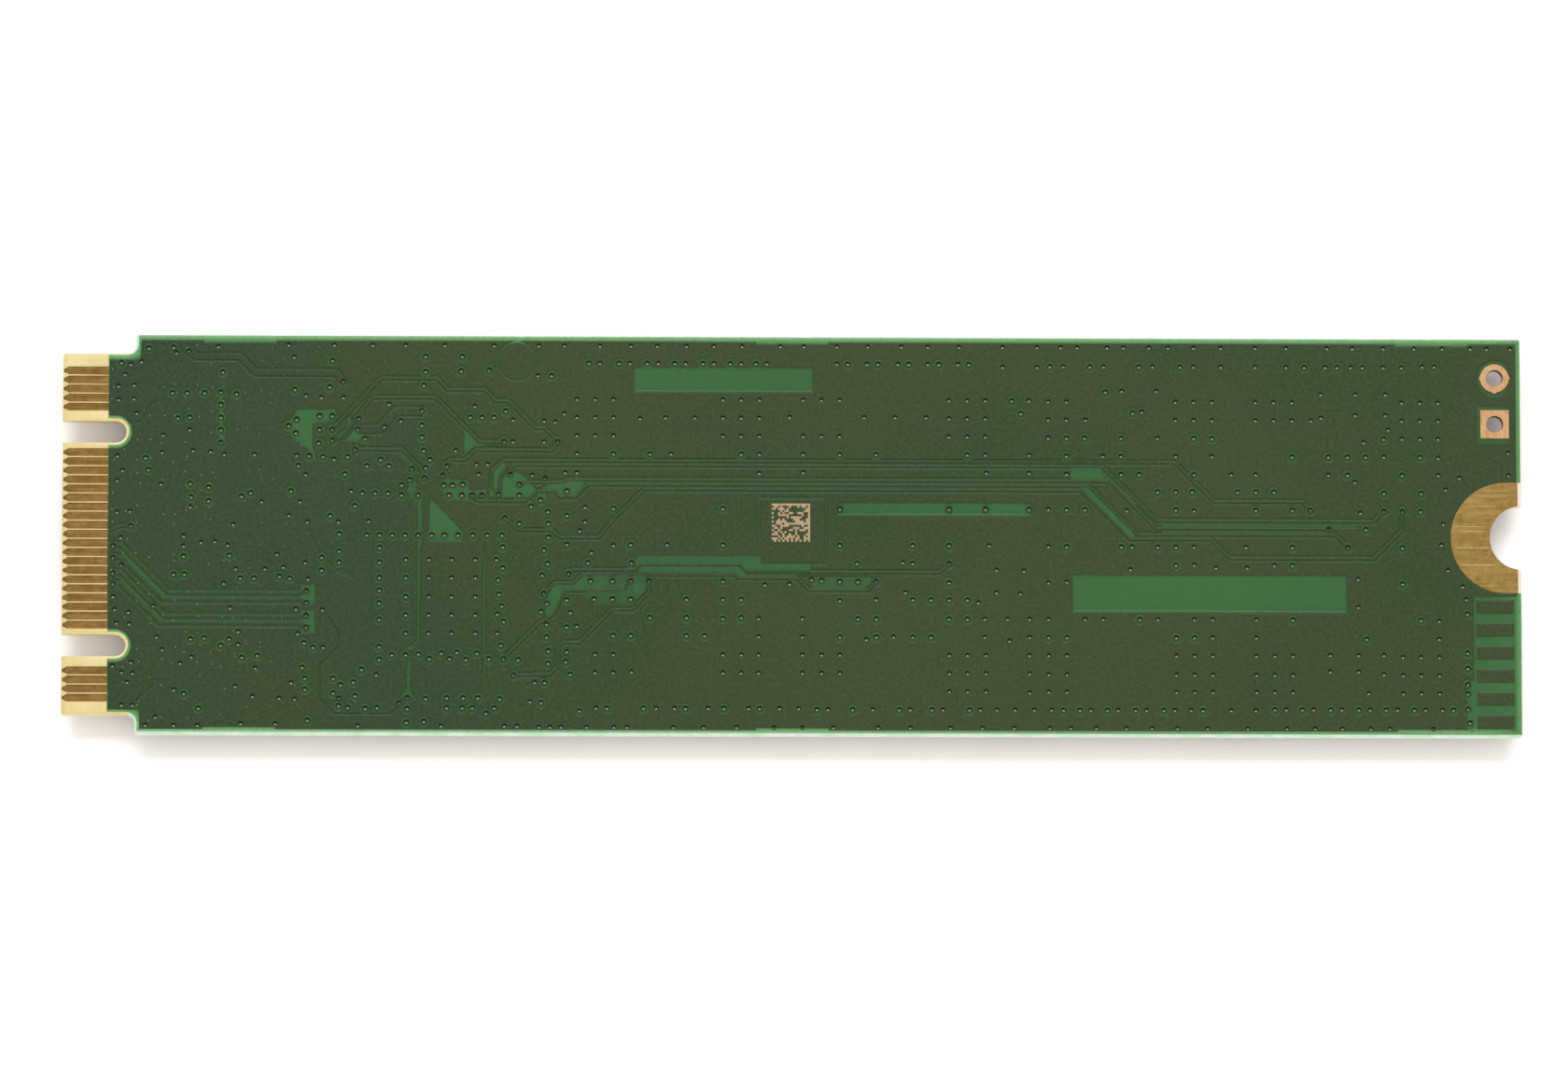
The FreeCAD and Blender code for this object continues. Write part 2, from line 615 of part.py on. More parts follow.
def power_chip():
    """Moulded power chip with the lead ends that show along its four sides."""
    x = POWER_CHIP_X
    y = POWER_CHIP_Y
    body = block(x, y, FRONT_Z - POWER_CHIP_THICKNESS, POWER_CHIP_SIZE, POWER_CHIP_SIZE, POWER_CHIP_THICKNESS)
    reach = (POWER_CHIP_SIZE + POWER_LEAD_REACH) / 2
    per_side = int((POWER_CHIP_SIZE - 2 * POWER_LEAD_CORNER_GAP - POWER_LEAD_WIDTH) / POWER_LEAD_PITCH) + 1
    bottom = FRONT_Z - POWER_LEAD_THICKNESS
    leads = []
    for i in range(per_side):
        along = (i - (per_side - 1) / 2) * POWER_LEAD_PITCH
        for side in (-1, 1):
            leads.append(block(
                x + side * reach, y + along, bottom, POWER_LEAD_REACH, POWER_LEAD_WIDTH, POWER_LEAD_THICKNESS))
            leads.append(block(
                x + along, y + side * reach, bottom, POWER_LEAD_WIDTH, POWER_LEAD_REACH, POWER_LEAD_THICKNESS))
    return body, leads


def crystal():
    """Ceramic base with a smaller metal lid."""
    base_bottom = FRONT_Z - CRYSTAL_BASE_HEIGHT
    base = block(CRYSTAL_X, CRYSTAL_Y, base_bottom, CRYSTAL_LENGTH, CRYSTAL_WIDTH, CRYSTAL_BASE_HEIGHT)
    lid_length = CRYSTAL_LENGTH - 2 * CRYSTAL_LID_INSET
    lid_width = CRYSTAL_WIDTH - 2 * CRYSTAL_LID_INSET
    lid_bottom = base_bottom - CRYSTAL_LID_HEIGHT
    lid = block(CRYSTAL_X, CRYSTAL_Y, lid_bottom, lid_length, lid_width, CRYSTAL_LID_HEIGHT)
    return base, lid


def bodies_and_ends(parts):
    """Sort two-terminal parts into their bodies and their terminals."""
    bodies = [body for body, _ in parts]
    ends = [end for _, pair in parts for end in pair]
    return bodies, ends


def build():
    """Every node of the card by name."""
    nodes = {"circuit_board": [circuit_board()]}
    back_pad = screw_pad_face(BACK_PAD_MARGIN, BACK_PAD_SETBACK)
    front_pad = screw_pad_face(FRONT_PAD_MARGIN, FRONT_PAD_SETBACK)
    nodes["back_copper_pour"], nodes["back_tracks"] = back_copper(back_pad)
    nodes["back_test_pads"] = test_pads()
    nodes["front_copper_pour"] = front_copper(front_pad)
    nodes["front_contacts"] = edge_contacts(1, FRONT_Z)
    nodes["back_contacts"] = edge_contacts(2, BACK_COPPER_Z)
    for name, pad, bottom in (("front", front_pad, FRONT_Z), ("back", back_pad, BACK_COPPER_Z)):
        notched = pad.cut(notch_face()).Faces[0]
        nodes[f"{name}_screw_pad"] = [prism(notched, bottom, COPPER_THICKNESS)]
    round_land = disc(HEADER_X, HEADER_ROUND_Y, HEADER_LAND_RADIUS)
    nodes["header_land_round"] = header_lands(HEADER_ROUND_Y, round_land)
    nodes["header_land_square"] = header_lands(HEADER_SQUARE_Y, header_square(HEADER_LAND_RADIUS))

    for number, x in enumerate(flash_centres(), start=1):
        cap, substrate = package(x, FLASH_OFFSET, FLASH_LENGTH, FLASH_WIDTH, FLASH_THICKNESS)
        nodes[f"flash_package_{number}"] = [cap]
        nodes[f"flash_substrate_{number}"] = [substrate]
        nodes[f"flash_balls_{number}"] = ball_rows(
            x, FLASH_OFFSET, FLASH_LENGTH, FLASH_WIDTH, FLASH_BALL_PITCH, FLASH_BALL_MARGIN)
    chips = (
        ("controller", CONTROLLER_OFFSET, CONTROLLER_SIZE, CONTROLLER_SIZE, CONTROLLER_THICKNESS),
        ("memory", MEMORY_Y, MEMORY_LENGTH, MEMORY_WIDTH, MEMORY_THICKNESS),
    )
    for name, y, size_x, size_y, thickness in chips:
        cap, substrate = package(CONTROLLER_X, y, size_x, size_y, thickness)
        nodes[f"{name}_package"] = [cap]
        nodes[f"{name}_substrate"] = [substrate]
        nodes[f"{name}_balls"] = ball_rows(CONTROLLER_X, y, size_x, size_y, FINE_BALL_PITCH, FINE_BALL_MARGIN)

    power_body, nodes["power_chip_leads"] = power_chip()
    nodes["power_chip"] = [power_body]
    nodes["load_switch"] = [block(
        SWITCH_X, SWITCH_Y, FRONT_Z - SWITCH_HEIGHT, SWITCH_SIZE, SWITCH_SIZE, SWITCH_HEIGHT)]
    crystal_base, crystal_lid = crystal()
    nodes["crystal_base"] = [crystal_base]
    nodes["crystal_lid"] = [crystal_lid]
    two_terminal = (
        ("inductor", inductors()),
        ("bulk_capacitor", bulk_capacitors()),
        ("small_capacitor", small_capacitors()),
        ("resistor", resistors()),
    )
    for name, parts in two_terminal:
        nodes[f"{name}_bodies"], nodes[f"{name}_terminals"] = bodies_and_ends(parts)
    return nodes


os.makedirs("parts", exist_ok=True)
for node_name, solids in build().items():
    shape = solids[0] if len(solids) == 1 else Part.makeCompound(solids)
    shape.translate(Vector(-BOARD_LENGTH / 2, 0, 0))
    shape.exportStep(f"parts/{node_name}.step")
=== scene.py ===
import math
import random

import bpy
from mathutils import Matrix, Vector
from mathutils.geometry import delaunay_2d_cdt


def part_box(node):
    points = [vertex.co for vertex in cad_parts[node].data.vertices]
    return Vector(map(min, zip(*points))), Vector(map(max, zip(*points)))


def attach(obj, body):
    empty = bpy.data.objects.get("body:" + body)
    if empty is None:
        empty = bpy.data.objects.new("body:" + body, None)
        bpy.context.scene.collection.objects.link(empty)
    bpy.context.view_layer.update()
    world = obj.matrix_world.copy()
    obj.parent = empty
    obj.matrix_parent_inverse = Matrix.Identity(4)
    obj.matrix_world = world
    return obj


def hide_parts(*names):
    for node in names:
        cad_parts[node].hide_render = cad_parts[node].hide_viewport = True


# Storage card, component side down. Plan places are in millimetres from its connector edge and centre line
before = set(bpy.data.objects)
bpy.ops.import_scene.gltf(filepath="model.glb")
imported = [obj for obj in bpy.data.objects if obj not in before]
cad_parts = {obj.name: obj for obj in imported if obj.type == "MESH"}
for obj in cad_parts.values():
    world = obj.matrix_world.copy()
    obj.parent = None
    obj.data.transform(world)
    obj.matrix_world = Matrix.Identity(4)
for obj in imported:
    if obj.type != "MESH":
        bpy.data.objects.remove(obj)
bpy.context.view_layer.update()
scene = bpy.context.scene

MM = 0.001
BOARD_LOW, BOARD_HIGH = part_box("circuit_board")
BOARD_LENGTH = (BOARD_HIGH.x - BOARD_LOW.x) / MM
HALF_WIDTH = BOARD_HIGH.y / MM
BACK_LAMINATE = BOARD_HIGH.z / MM
FRONT_LAMINATE = BOARD_LOW.z / MM
BACK_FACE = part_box("back_copper_pour")[1].z / MM
FRONT_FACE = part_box("front_copper_pour")[0].z / MM

# Board shape, as in the part's source
MASK_START = 2.5
TONGUE_LENGTH = 4.0
HALF_TONGUE = 9.925
BOARD_CORNER = 0.15
SHOULDER_FILLET = 0.5
KEY_SLOT_CENTRES = (5.625, -6.125)
KEY_SLOT_WIDTH = 1.2
KEY_SLOT_DEPTH = 3.5
SLOT_MASK_GAP = 0.12
BEVEL_LENGTH = 0.25
BEVEL_DEPTH = 0.15
NOTCH_RADIUS = 1.75
SCREW_PAD_RADIUS = 3.05
SCREW_PAD_CENTRE = 79.15
SCREW_PAD_END_GAP = 0.2
HEADER_X = 78.57
HEADER_ROUND_Y = 8.82
HEADER_SQUARE_Y = 6.28
HEADER_HOLE_RADIUS = 0.5
HEADER_LAND_REACH = 0.78
HEADER_NUB_ANGLES = (0, 180, 270)
HEADER_NUB_REACH = 0.07
HEADER_NUB_SPREAD = 12
BARREL_WALL = 0.03
PLATING_SMOOTH = 30

# Sides of round outlines, and the round land's step in degrees
CORNER_SIDES = 4
SHOULDER_SIDES = 14
KEY_SLOT_SIDES = 24
NOTCH_SIDES = 56
PAD_NOTCH_SIDES = 48
PAD_RIM_SIDES = 64
HEADER_HOLE_SIDES = 40
HEADER_LAND_STEP = 5

# Working values: how far a cut runs past the board, tolerances, and the options of the triangulation
OVERRUN = 1.0
LEVEL_TOLERANCE = 1e-3
PLAN_DIGITS = 4
FRAME_DIGITS = 7
LEAST_LENGTH = 1e-6
LEAST_MITRE = 0.4
PLAN_TOLERANCE = 1e-5
TRIANGLES_INSIDE = 1

# Edge contacts: plated flanks, and the cut leads ahead of them
CONTACT_FOOT = 0.43
CONTACT_TOP = 0.355
CONTACT_END_SLOPE = 0.02
LEAD_START = 0.04
LEAD_TIP = 0.14
LEAD_ROOT = 0.34
LEAD_SUNK = 0.01
LEAD_RISE = 0.012

# Screw pad's edge, and its scratches: start and end along the card, place across it, width
PAD_EDGE_DROP = 0.012
PAD_EDGE_SLOPE = 0.02
SCRATCH_TAPER = 0.05
SCRATCH_CREST = 0.4
SCRATCH_RISE = 0.004
PAD_SCRATCHES = (
    (76.3, 78.25, -0.55, 0.05),
    (76.25, 78.0, 0.62, 0.035),
    (76.5, 78.1, 0.35, 0.03),
    (76.65, 78.6, -1.5, 0.05),
    (77.4, 79.2, 2.3, 0.03),
    (77.2, 78.6, 1.75, 0.03),
    (77.9, 79.3, 2.6, 0.025),
)

# Relief of the solder mask: its fall beside copper, its bed in the laminate, and its slopes
MASK_DROP = 0.05
MASK_BED = 0.09
COPPER_FOOT = 0.035
COPPER_SLOPE = 0.085
COPPER_CREST = COPPER_SLOPE - COPPER_FOOT
SHOULDER_WIDTH = 0.04
SHOULDER_DROP = 0.009
PAD_SHOULDER = 0.025
PAD_SHOULDER_DROP = 0.018
PAD_CREST = 0.08

# Growth of a copper outline to each line of its slope, from the crest to the foot
SLOPE_STEPS = (("_top", -COPPER_CREST), ("_mid", SHOULDER_WIDTH - COPPER_CREST), ("", COPPER_FOOT))

# Windows in the copper, and the weaker green of narrow gaps: partly painted shade of the copper beside
# them, partly the thicker mask there
WINDOW_TOE = 0.1
WINDOW_DEPTH = 0.03
WINDOW_CORNERS = 6
WINDOW_AREA = 5.0
POCKET_WIDTH = 0.3
NARROW_TINT_AND_SHADE = 0.6
NARROW_WIDTH = 0.1
WIDE_WIDTH = 0.35

# Rim of the board that the mask leaves bare, rounded off; the mask lies a little off centre
EDGE_RIM = 0.09
EDGE_ROUND = 0.14
EDGE_FALL = 0.05
MASK_OFFSET = (0.05, 0.05)

# Painted glow of light through the laminate that pales the mask near the routed edges, by the edge that is
# nearest, weaker at the end and stronger along the lower edge
PAINTED_EDGE_LIGHT_REACH = 0.5
END_PAINTED_LIGHT = 0.6
LOWER_PAINTED_LIGHT = 1.5
EDGE_TIE = 0.01

# Packages: broken edges, pin-one dimple, solder balls
CAP_EDGE = 0.06
BASE_CORNER = 0.05
DIMPLE_INSET = 1.0
DIMPLE_RADIUS = 0.4
DIMPLE_SLOPE = 0.04
DIMPLE_DEPTH = 0.05
DIMPLE_SIDES = 28
BALL_SIDES = 14
BALL_RINGS = 7
BALL_FLATTENING = 0.72
BALL_SMOOTH = 50
BALL_PITCHES = {"flash": 1.0, "controller": 0.8, "memory": 0.8}
PACKAGE_NUMBERS = {"flash": ("_1", "_2", "_3", "_4"), "controller": ("",), "memory": ("",)}

# Small parts: broken edge, finish, slot; and the share of an edge that is cut off its corners
SMALL_PARTS = (
    ("power_chip", 0.05, "mould_compound", "black_moulding"),
    ("power_chip_leads", 0.02, "tinned_ends", "tinned_metal"),
    ("load_switch", 0.05, "mould_compound", "black_moulding"),
    ("crystal_base", 0.04, "crystal_ceramic", "white_ceramic"),
    ("crystal_lid", 0.05, "crystal_lid", "nickel_lid"),
    ("inductor_bodies", 0.1, "inductor_body", "ferrite_moulding"),
    ("inductor_terminals", 0.05, "tinned_ends", "tinned_metal"),
    ("bulk_capacitor_bodies", 0.05, "capacitor_ceramic", "capacitor_ceramic"),
    ("bulk_capacitor_terminals", 0.06, "tinned_ends", "tinned_metal"),
    ("small_capacitor_bodies", 0.03, "capacitor_ceramic", "capacitor_ceramic"),
    ("small_capacitor_terminals", 0.04, "tinned_ends", "tinned_metal"),
    ("resistor_bodies", 0.02, "resistor_coat", "resistor_coat"),
    ("resistor_terminals", 0.03, "tinned_ends", "tinned_metal"),
)
BOX_CORNER = 0.6

# Solder on the two-ended parts: its climb up the end face, then height and spread of each line of its slope
SOLDERED_PARTS = ("small_capacitor", "bulk_capacitor", "resistor", "inductor")
SOLDER_CLIMB = 0.6
SOLDER_FILM = 0.012
SOLDER_SLOPE = ((0.0, 0.02), (0.4, 0.05), (0.7, 0.1), (1.0, 0.2))

# Plated metals: darkest and lightest colour, roughness, stretch of the drawn grain
PLATED_FINISHES = {
    "gold_contacts": (((102, 73, 33), (143, 112, 65)), 0.36, (0.06, 1.0, 1.0)),
    "gold_pad": (((121, 92, 44), (154, 128, 76)), 0.4, (0.06, 1.0, 1.0)),
    "scratched_gold": (((168, 142, 94), (196, 172, 124)), 0.42, (0.06, 1.0, 1.0)),
    "header_copper": (((168, 124, 84), (192, 152, 112)), 0.42, (1.0, 0.3, 1.0)),
    # Barrel walls: copper darkened as painted shade inside the holes
    "painted_shade_barrel_copper": (((104, 68, 40), (140, 98, 62)), 0.5, (1.0, 1.0, 0.1)),
}
TARNISH_SHOWS = (0.25, 0.75)
TARNISH_STRENGTHS = (0.1, 0.75)
WEAR_SHOWS = (0.45, 0.75)
WEAR_STRENGTH = 0.5

# Moulded, fired and cast surfaces: darkest and lightest colour, roughness, scale and depth of grain, metal
PLAIN_FINISHES = {
    "cut_leads": (((104, 78, 40), (140, 110, 64)), 0.5, 5000.0, 0.000003, 1.0),
    "marked_copper": (((166, 138, 102), (198, 168, 130)), 0.5, 3000.0, 0.000003, 0.0),
    "mould_compound": (((26, 26, 27), (36, 36, 37)), 0.55, 9000.0, 0.000006, 0.0),
    "package_substrate": (((36, 70, 40), (44, 82, 46)), 0.4, 2500.0, 0.000002, 0.0),
    "solder": (((176, 178, 182), (206, 207, 210)), 0.3, 4000.0, 0.000004, 1.0),
    "tinned_ends": (((184, 184, 182), (212, 211, 208)), 0.38, 5000.0, 0.000004, 1.0),
    "capacitor_ceramic": (((138, 104, 74), (164, 128, 94)), 0.45, 5000.0, 0.000003, 0.0),
    "crystal_ceramic": (((206, 200, 186), (222, 216, 204)), 0.5, 4000.0, 0.000003, 0.0),
    "crystal_lid": (((196, 188, 170), (214, 207, 192)), 0.28, 3000.0, 0.000002, 1.0),
    "inductor_body": (((62, 62, 66), (82, 82, 86)), 0.6, 6000.0, 0.000006, 0.0),
    "resistor_coat": (((24, 24, 26), (34, 34, 36)), 0.3, 4000.0, 0.000002, 0.0),
}

# Range in which a pattern takes effect, spread of a finish's roughness, and how much coarser its wear is
PATTERN_MIDDLE = (0.3, 0.7)
ROUGHNESS_SPREAD = (-0.06, 0.08)
WEAR_SPREAD = 6

# Solder mask over copper near the connector and beyond, over laminate, and its painted glow of light
# through the laminate at the edges
COOL_MASK = ((33, 60, 35), (40, 61, 31))
WARM_MASK = ((43, 65, 33), (51, 67, 33))
CLEAR_MASK = ((43, 97, 51), (51, 105, 55))
PAINTED_EDGE_LIGHT_STEPS = (((0.0, 0.5), (98, 158, 94)), ((0.45, 0.95), (152, 202, 150)), ((0.9, 1.4), (214, 240, 210)))
MASK_CLOUDS = (0.35, 0.65)
MASK_WARMS = (0.0, 30.0)
MASK_ROUGHNESS = (0.36, 0.42)
MASK_SPECULAR = (0.225, 0.12)
# Near-black painted shade in the via dimples, partly also the darker thin mask over the hole
PIT_SHADE_COLOR = (8, 32, 4)
# Painted highlight on the lower side of each via dimple
PAINTED_GLINT_COLOR = (158, 176, 144)

# Grain and dust on the mask; the dust fades along the card
GRAIN_COLOR = (84, 98, 66)
GRAIN_SHOWS = (0.35, 0.75)
GRAIN_STRENGTH = 0.3
DUST_COLOR = (176, 186, 160)
DUST_FADES = (16.0, 4.0)
DUST_STRENGTHS = (0.12, 0.6)
SPECK_CORE = 0.4

# Laminate: bare at the connector with its weave, and greenish along the routed edges beyond, lightened
# there as painted glow of light through the laminate
BARE_LAMINATE = ((236, 218, 150), (248, 234, 174))
WEAVE_COLOR = (222, 200, 132)
WEAVE_SHOWS = (0.2, 0.9)
WEAVE_STRENGTH = 0.2
EDGE_LAMINATE_WITH_PAINTED_GLOW = ((202, 248, 212), (240, 255, 244))
EDGE_BEGINS = (3.65, 3.75)

# Cream strip between the screw pad and the end: places along the card, squares of those across it in metres
PAD_STRIP_COLOR = (252, 244, 224)
PAD_STRIP_BEGINS = (79.1, 79.3)
PAD_STRIP_SIDES = (9.8e-6, 9.2e-6)

# Lamps: place, width and length, power, colour
LAMPS = {
    "key": ((0.0, 0.56, 0.655), (0.85, 0.48), 6.6, (0.945, 1.0, 1.05)),
    "fill": ((0.0, -0.84, 0.15), (1.2, 0.3), 3.2, (1.0, 0.98, 0.95)),
}

# Surround and table
AMBIENT = (0.36, 0.287, 0.237, 1)
WHITE = (1, 1, 1, 1)
FLOOR_SIZE = 4.0
FLOOR_DARK = (0.955, 0.955, 0.955, 1)
FLOOR_LIGHT = (0.965, 0.965, 0.965, 1)
FLOOR_GLOW = 0.63
FLOOR_SHADE_REACH = 0.004

# Camera fitted to the photograph's 1680 by 1149 frame
PHOTO_WIDTH = 1680
CAMERA_DISTANCE = 0.6
CAMERA_AZIMUTH = -16.7
CAMERA_TILT = 6.4
CAMERA_ROLL = -0.026
CAMERA_LENS = 251.45
CAMERA_SENSOR = 36.0
CAMERA_CLIP = 0.01
CAMERA_SHIFT_PIXELS = (-9.88, -0.25)

# Marked square code field, filled with cells that carry no message
CODE_LOW = (38.82, -0.33)
CODE_CELLS = 18
CODE_CELL = 0.117
CODE_SUNK = 0.01
CODE_RISE = 0.003
CODE_SEED = 7
CODE_FILL = 0.42

# Via dimples on the back, each line with its offset across the card, its radius and its fall below the face
VIA_SIDES = 12
VIA_PROFILE = (
    ("via_rim", 0.0, 0.145, 0.0),
    ("via_wall", 0.01, 0.124, 0.014),
    ("via_mid", 0.034, 0.08, 0.03),
    ("via_floor", 0.06, 0.033, 0.055),
)
# Line below each via's centre under which the middle ring's points carry the painted highlight
VIA_PAINTED_GLINT_LINE = -0.02
VIA_SEED = 3
VIA_DEPTHS = (0.75, 1.2)

# Land of a ringed via, and the ring about it that is clear of copper
RING_SIDES = 18
LAND_RADIUS = 0.205
RING_RADIUS = 0.3
# Weaker green in the ring: partly painted shade of the copper beside it, partly the thicker mask there
RING_TINT_AND_SHADE = 0.68

# Via dimples on the component side
FRONT_VIA_SIDES = 10
FRONT_VIA_RIM = 0.15
FRONT_VIA_FLOOR = 0.09
FRONT_VIA_DEPTH = 0.032

# Plain vias: places along and across the card
PLAIN_VIAS = (
    # Connector end
    (6.2, 10.0), (8.5, 10.35), (3.7, 9.35), (4.3, 9.5), (3.4, 8.8), (3.05, 8.15), (3.9, 8.2),
    (3.05, 7.4), (3.9, 7.45), (4.05, 6.65), (6.95, 5.75), (5.5, 5.45), (5.45, 4.5), (7.15, 4.6),
    (8.1, 4.55), (8.85, 4.4), (10.5, 4.4), (3.0, 4.3), (3.3, 3.5), (3.0, 2.95), (5.4, 2.75), (7.0, 1.5),
    (10.9, 1.8), (3.0, 1.2), (3.7, 1.25), (3.2, -0.2), (3.25, -1.7), (2.8, -3.45), (9.35, 0.55),
    (6.65, -0.1), (6.65, -0.65), (7.6, -0.45), (8.35, -0.4), (9.05, -0.6), (9.5, -1.9), (8.85, -2.7),
    (11.1, -1.9), (11.75, -1.1), (2.9, -4.15), (3.65, -4.3), (5.0, -3.95), (9.2, -4.05), (3.0, -4.9),
    (3.7, -4.95), (9.65, -5.35), (5.2, -5.65), (9.65, -6.05), (5.5, -6.35), (7.1, -6.75), (6.5, -7.1),
    (10.6, -7.35), (3.8, -7.05), (2.8, -7.25), (3.3, -7.6), (3.9, -7.65), (3.6, -8.15), (6.15, -8.55),
    (9.5, -8.35), (10.45, -8.9), (11.9, -9.0), (3.3, -9.4), (3.9, -9.4), (5.15, -10.05), (4.6, -10.5),
    (6.15, -10.5), (7.45, -10.5), (9.8, -10.4), (11.7, -10.4),
    # Beside the controller
    (12.65, 9.78), (13.3, 7.65), (14.15, 7.55), (15.35, 7.55), (26.0, 8.8), (17.85, 7.2), (22.55, 7.1),
    (24.65, 6.35), (18.5, 6.28), (17.6, 5.95), (24.65, 5.15), (21.5, 4.65), (12.8, 4.35), (14.85, 4.15),
    (19.85, 3.7), (22.65, 3.9), (23.25, 3.9), (13.3, 3.3), (22.75, 3.35), (25.7, 3.3), (13.0, 1.8),
    (12.4, 1.05), (13.4, 0.7), (12.1, -1.8), (13.3, -1.55), (13.45, -2.45), (15.8, 2.4), (15.1, 0.7),
    (16.75, 0.75), (23.8, -5.4), (12.8, -4.1), (14.25, -4.15), (12.9, -5.45), (14.3, -6.2),
    (12.55, -8.15), (12.75, -9.05), (15.15, -9.0), (17.2, -7.7), (16.2, -10.5), (18.45, -9.25),
    (20.75, -10.5), (24.2, -10.5), (24.9, -10.5), (25.6, -9.15), (25.85, -8.1), (13.35, -3.1),
    (13.35, -3.75), (13.35, -4.45), (13.35, -5.1),
    # Along the flash row
    (31.6, 6.45), (33.0, 6.5), (34.6, 6.5), (26.35, 6.3), (26.95, 6.25), (27.45, 6.7), (26.35, 5.15),
    (28.15, 4.5), (33.3, 4.5), (38.15, 4.5), (28.15, 3.45), (27.5, 3.45), (26.4, 3.15), (38.15, 3.45),
    (28.6, 1.55), (28.6, 0.75), (28.3, 0.25), (28.95, -0.95), (30.15, -0.55), (33.1, -0.5),
    (38.45, -2.7), (39.8, -2.65), (27.8, -4.25), (28.15, -5.0), (38.1, -4.55), (38.1, -5.55),
    (51.5, 9.35), (53.4, 9.35), (39.8, 6.55), (43.9, 6.55), (45.6, 6.55), (47.3, 6.55), (40.55, 4.5),
    (50.55, 4.5), (52.95, 7.5), (52.95, 4.5), (40.55, 3.5), (50.6, 3.5), (52.95, 3.5), (42.55, 1.5),
    (48.55, 1.5), (50.55, 1.5), (52.95, 1.5), (50.75, -0.5), (46.0, -1.45), (51.15, -1.85),
    (52.65, -1.9), (46.15, -3.1), (51.15, -3.1), (52.45, -3.15), (41.0, -2.4), (41.55, -2.45),
    (42.55, -2.5), (43.55, -2.5), (44.55, -3.5), (50.15, -3.65), (40.5, -4.55), (50.5, -4.55),
    (51.75, -4.55), (52.95, -4.55), (40.5, -5.55), (44.0, -5.7), (45.5, -5.55), (50.5, -5.55),
    (51.85, -5.75), (52.95, -5.55), (51.15, -9.55), (52.15, -9.55), (53.2, -9.55), (31.15, -7.5),
    (39.25, -9.5), (40.3, -9.5), (52.95, -8.6), (56.05, 6.45), (68.45, 6.45), (64.0, -9.55),
    (65.35, -9.55), (63.5, 9.4), (65.4, 9.4), (67.1, 9.4), (58.05, 8.05), (59.95, 8.05), (69.0, 7.9),
    (59.15, 6.9), (69.0, 6.6), (54.0, 5.45), (60.0, 5.45), (57.0, 4.45), (61.0, 4.45), (63.0, 4.45),
    (55.0, 3.45), (64.05, 3.45), (65.4, 3.45), (69.4, 3.45), (54.0, 1.5), (58.3, 1.45), (62.0, 1.45),
    (54.0, -0.55), (58.6, -0.55), (62.0, -0.55), (64.85, -0.55), (58.5, -1.8), (62.0, -1.55),
    (63.2, -1.7), (64.9, -1.7), (66.4, -1.55), (54.0, -2.55), (55.0, -2.5), (54.0, -4.55),
    (56.0, -4.55), (57.0, -4.55), (60.0, -4.55), (62.0, -4.55), (63.0, -4.55), (65.4, -4.55),
    (63.0, -5.55), (65.4, -5.55), (69.45, -6.5), (69.45, -7.4),
    # Screw end
    (72.45, 9.4), (70.9, 7.9), (72.55, 7.9), (70.9, 6.75), (72.55, 6.75), (72.7, 5.95), (71.35, 5.25),
    (72.45, 4.45), (75.45, 4.4), (70.85, 3.05), (75.45, 3.45), (76.6, 3.3), (79.3, 4.7), (79.3, 3.45),
    (75.85, 2.65), (71.15, 1.35), (75.7, 0.75), (75.6, -0.4), (75.95, -1.8), (71.0, -2.3),
    (76.75, -2.7), (76.95, -3.4), (71.0, -3.85), (75.45, -4.6), (75.45, -5.6), (71.0, -6.5),
    (72.4, -6.5), (71.0, -7.4), (72.4, -7.55), (71.55, -8.6),
)

# Rows and grids of plain vias: places along the card, levels across it
PLAIN_VIA_GRIDS = (
    ((12.35, 14.85, 16.95, 18.75, 20.9, 23.6, 26.05, 27.45, 29.4, 31.1, 32.55, 34.15, 35.65, 37.2,
      39.3, 40.6, 42.4, 44.1, 45.95, 47.4, 49.1, 51.5, 53.4, 54.7, 55.6, 57.25, 58.15, 59.55, 60.6,
      62.0, 63.5, 65.4, 67.1, 69.35, 70.75, 72.45, 74.15, 75.7, 77.25, 78.15, 79.45), (10.45,)),
    ((26.1, 26.7, 27.3, 28.7, 30.2, 30.9, 33.45, 35.1, 36.9, 38.95, 40.5, 42.2, 44.65, 46.4, 48.6,
      50.35, 52.1, 54.05, 55.2, 56.6, 58.25, 59.65, 61.05, 62.7, 64.9, 67.05, 68.6, 70.1, 71.65, 72.7,
      75.1), (-10.55,)),
    ((20.05, 21.3, 22.6), (-1.35, -2.35, -3.4, -4.4, -5.4)),
    ((28.15, 29.15, 30.15, 36.15, 37.15, 38.15), (7.5, 6.5, 5.5)),
    ((29.15, 30.15, 36.15, 37.15, 38.1), (-6.55, -7.55)),
    ((40.55, 41.55, 42.55), (7.5, 5.5)),
    ((48.55, 49.55, 50.55), (7.5, 6.5, 5.5, -8.55)),
    ((40.5, 41.55, 42.55, 48.55, 49.55, 50.55, 52.95), (-6.55, -7.55)),
    ((54.0, 55.0, 61.0, 62.0, 63.0, 65.4, 66.4, 67.4), (7.45, 6.45, -6.55, -7.6, -8.55)),
    ((73.45, 74.45, 75.45), (7.45, 6.45, 5.45, -6.6, -7.6, -8.6)),
)

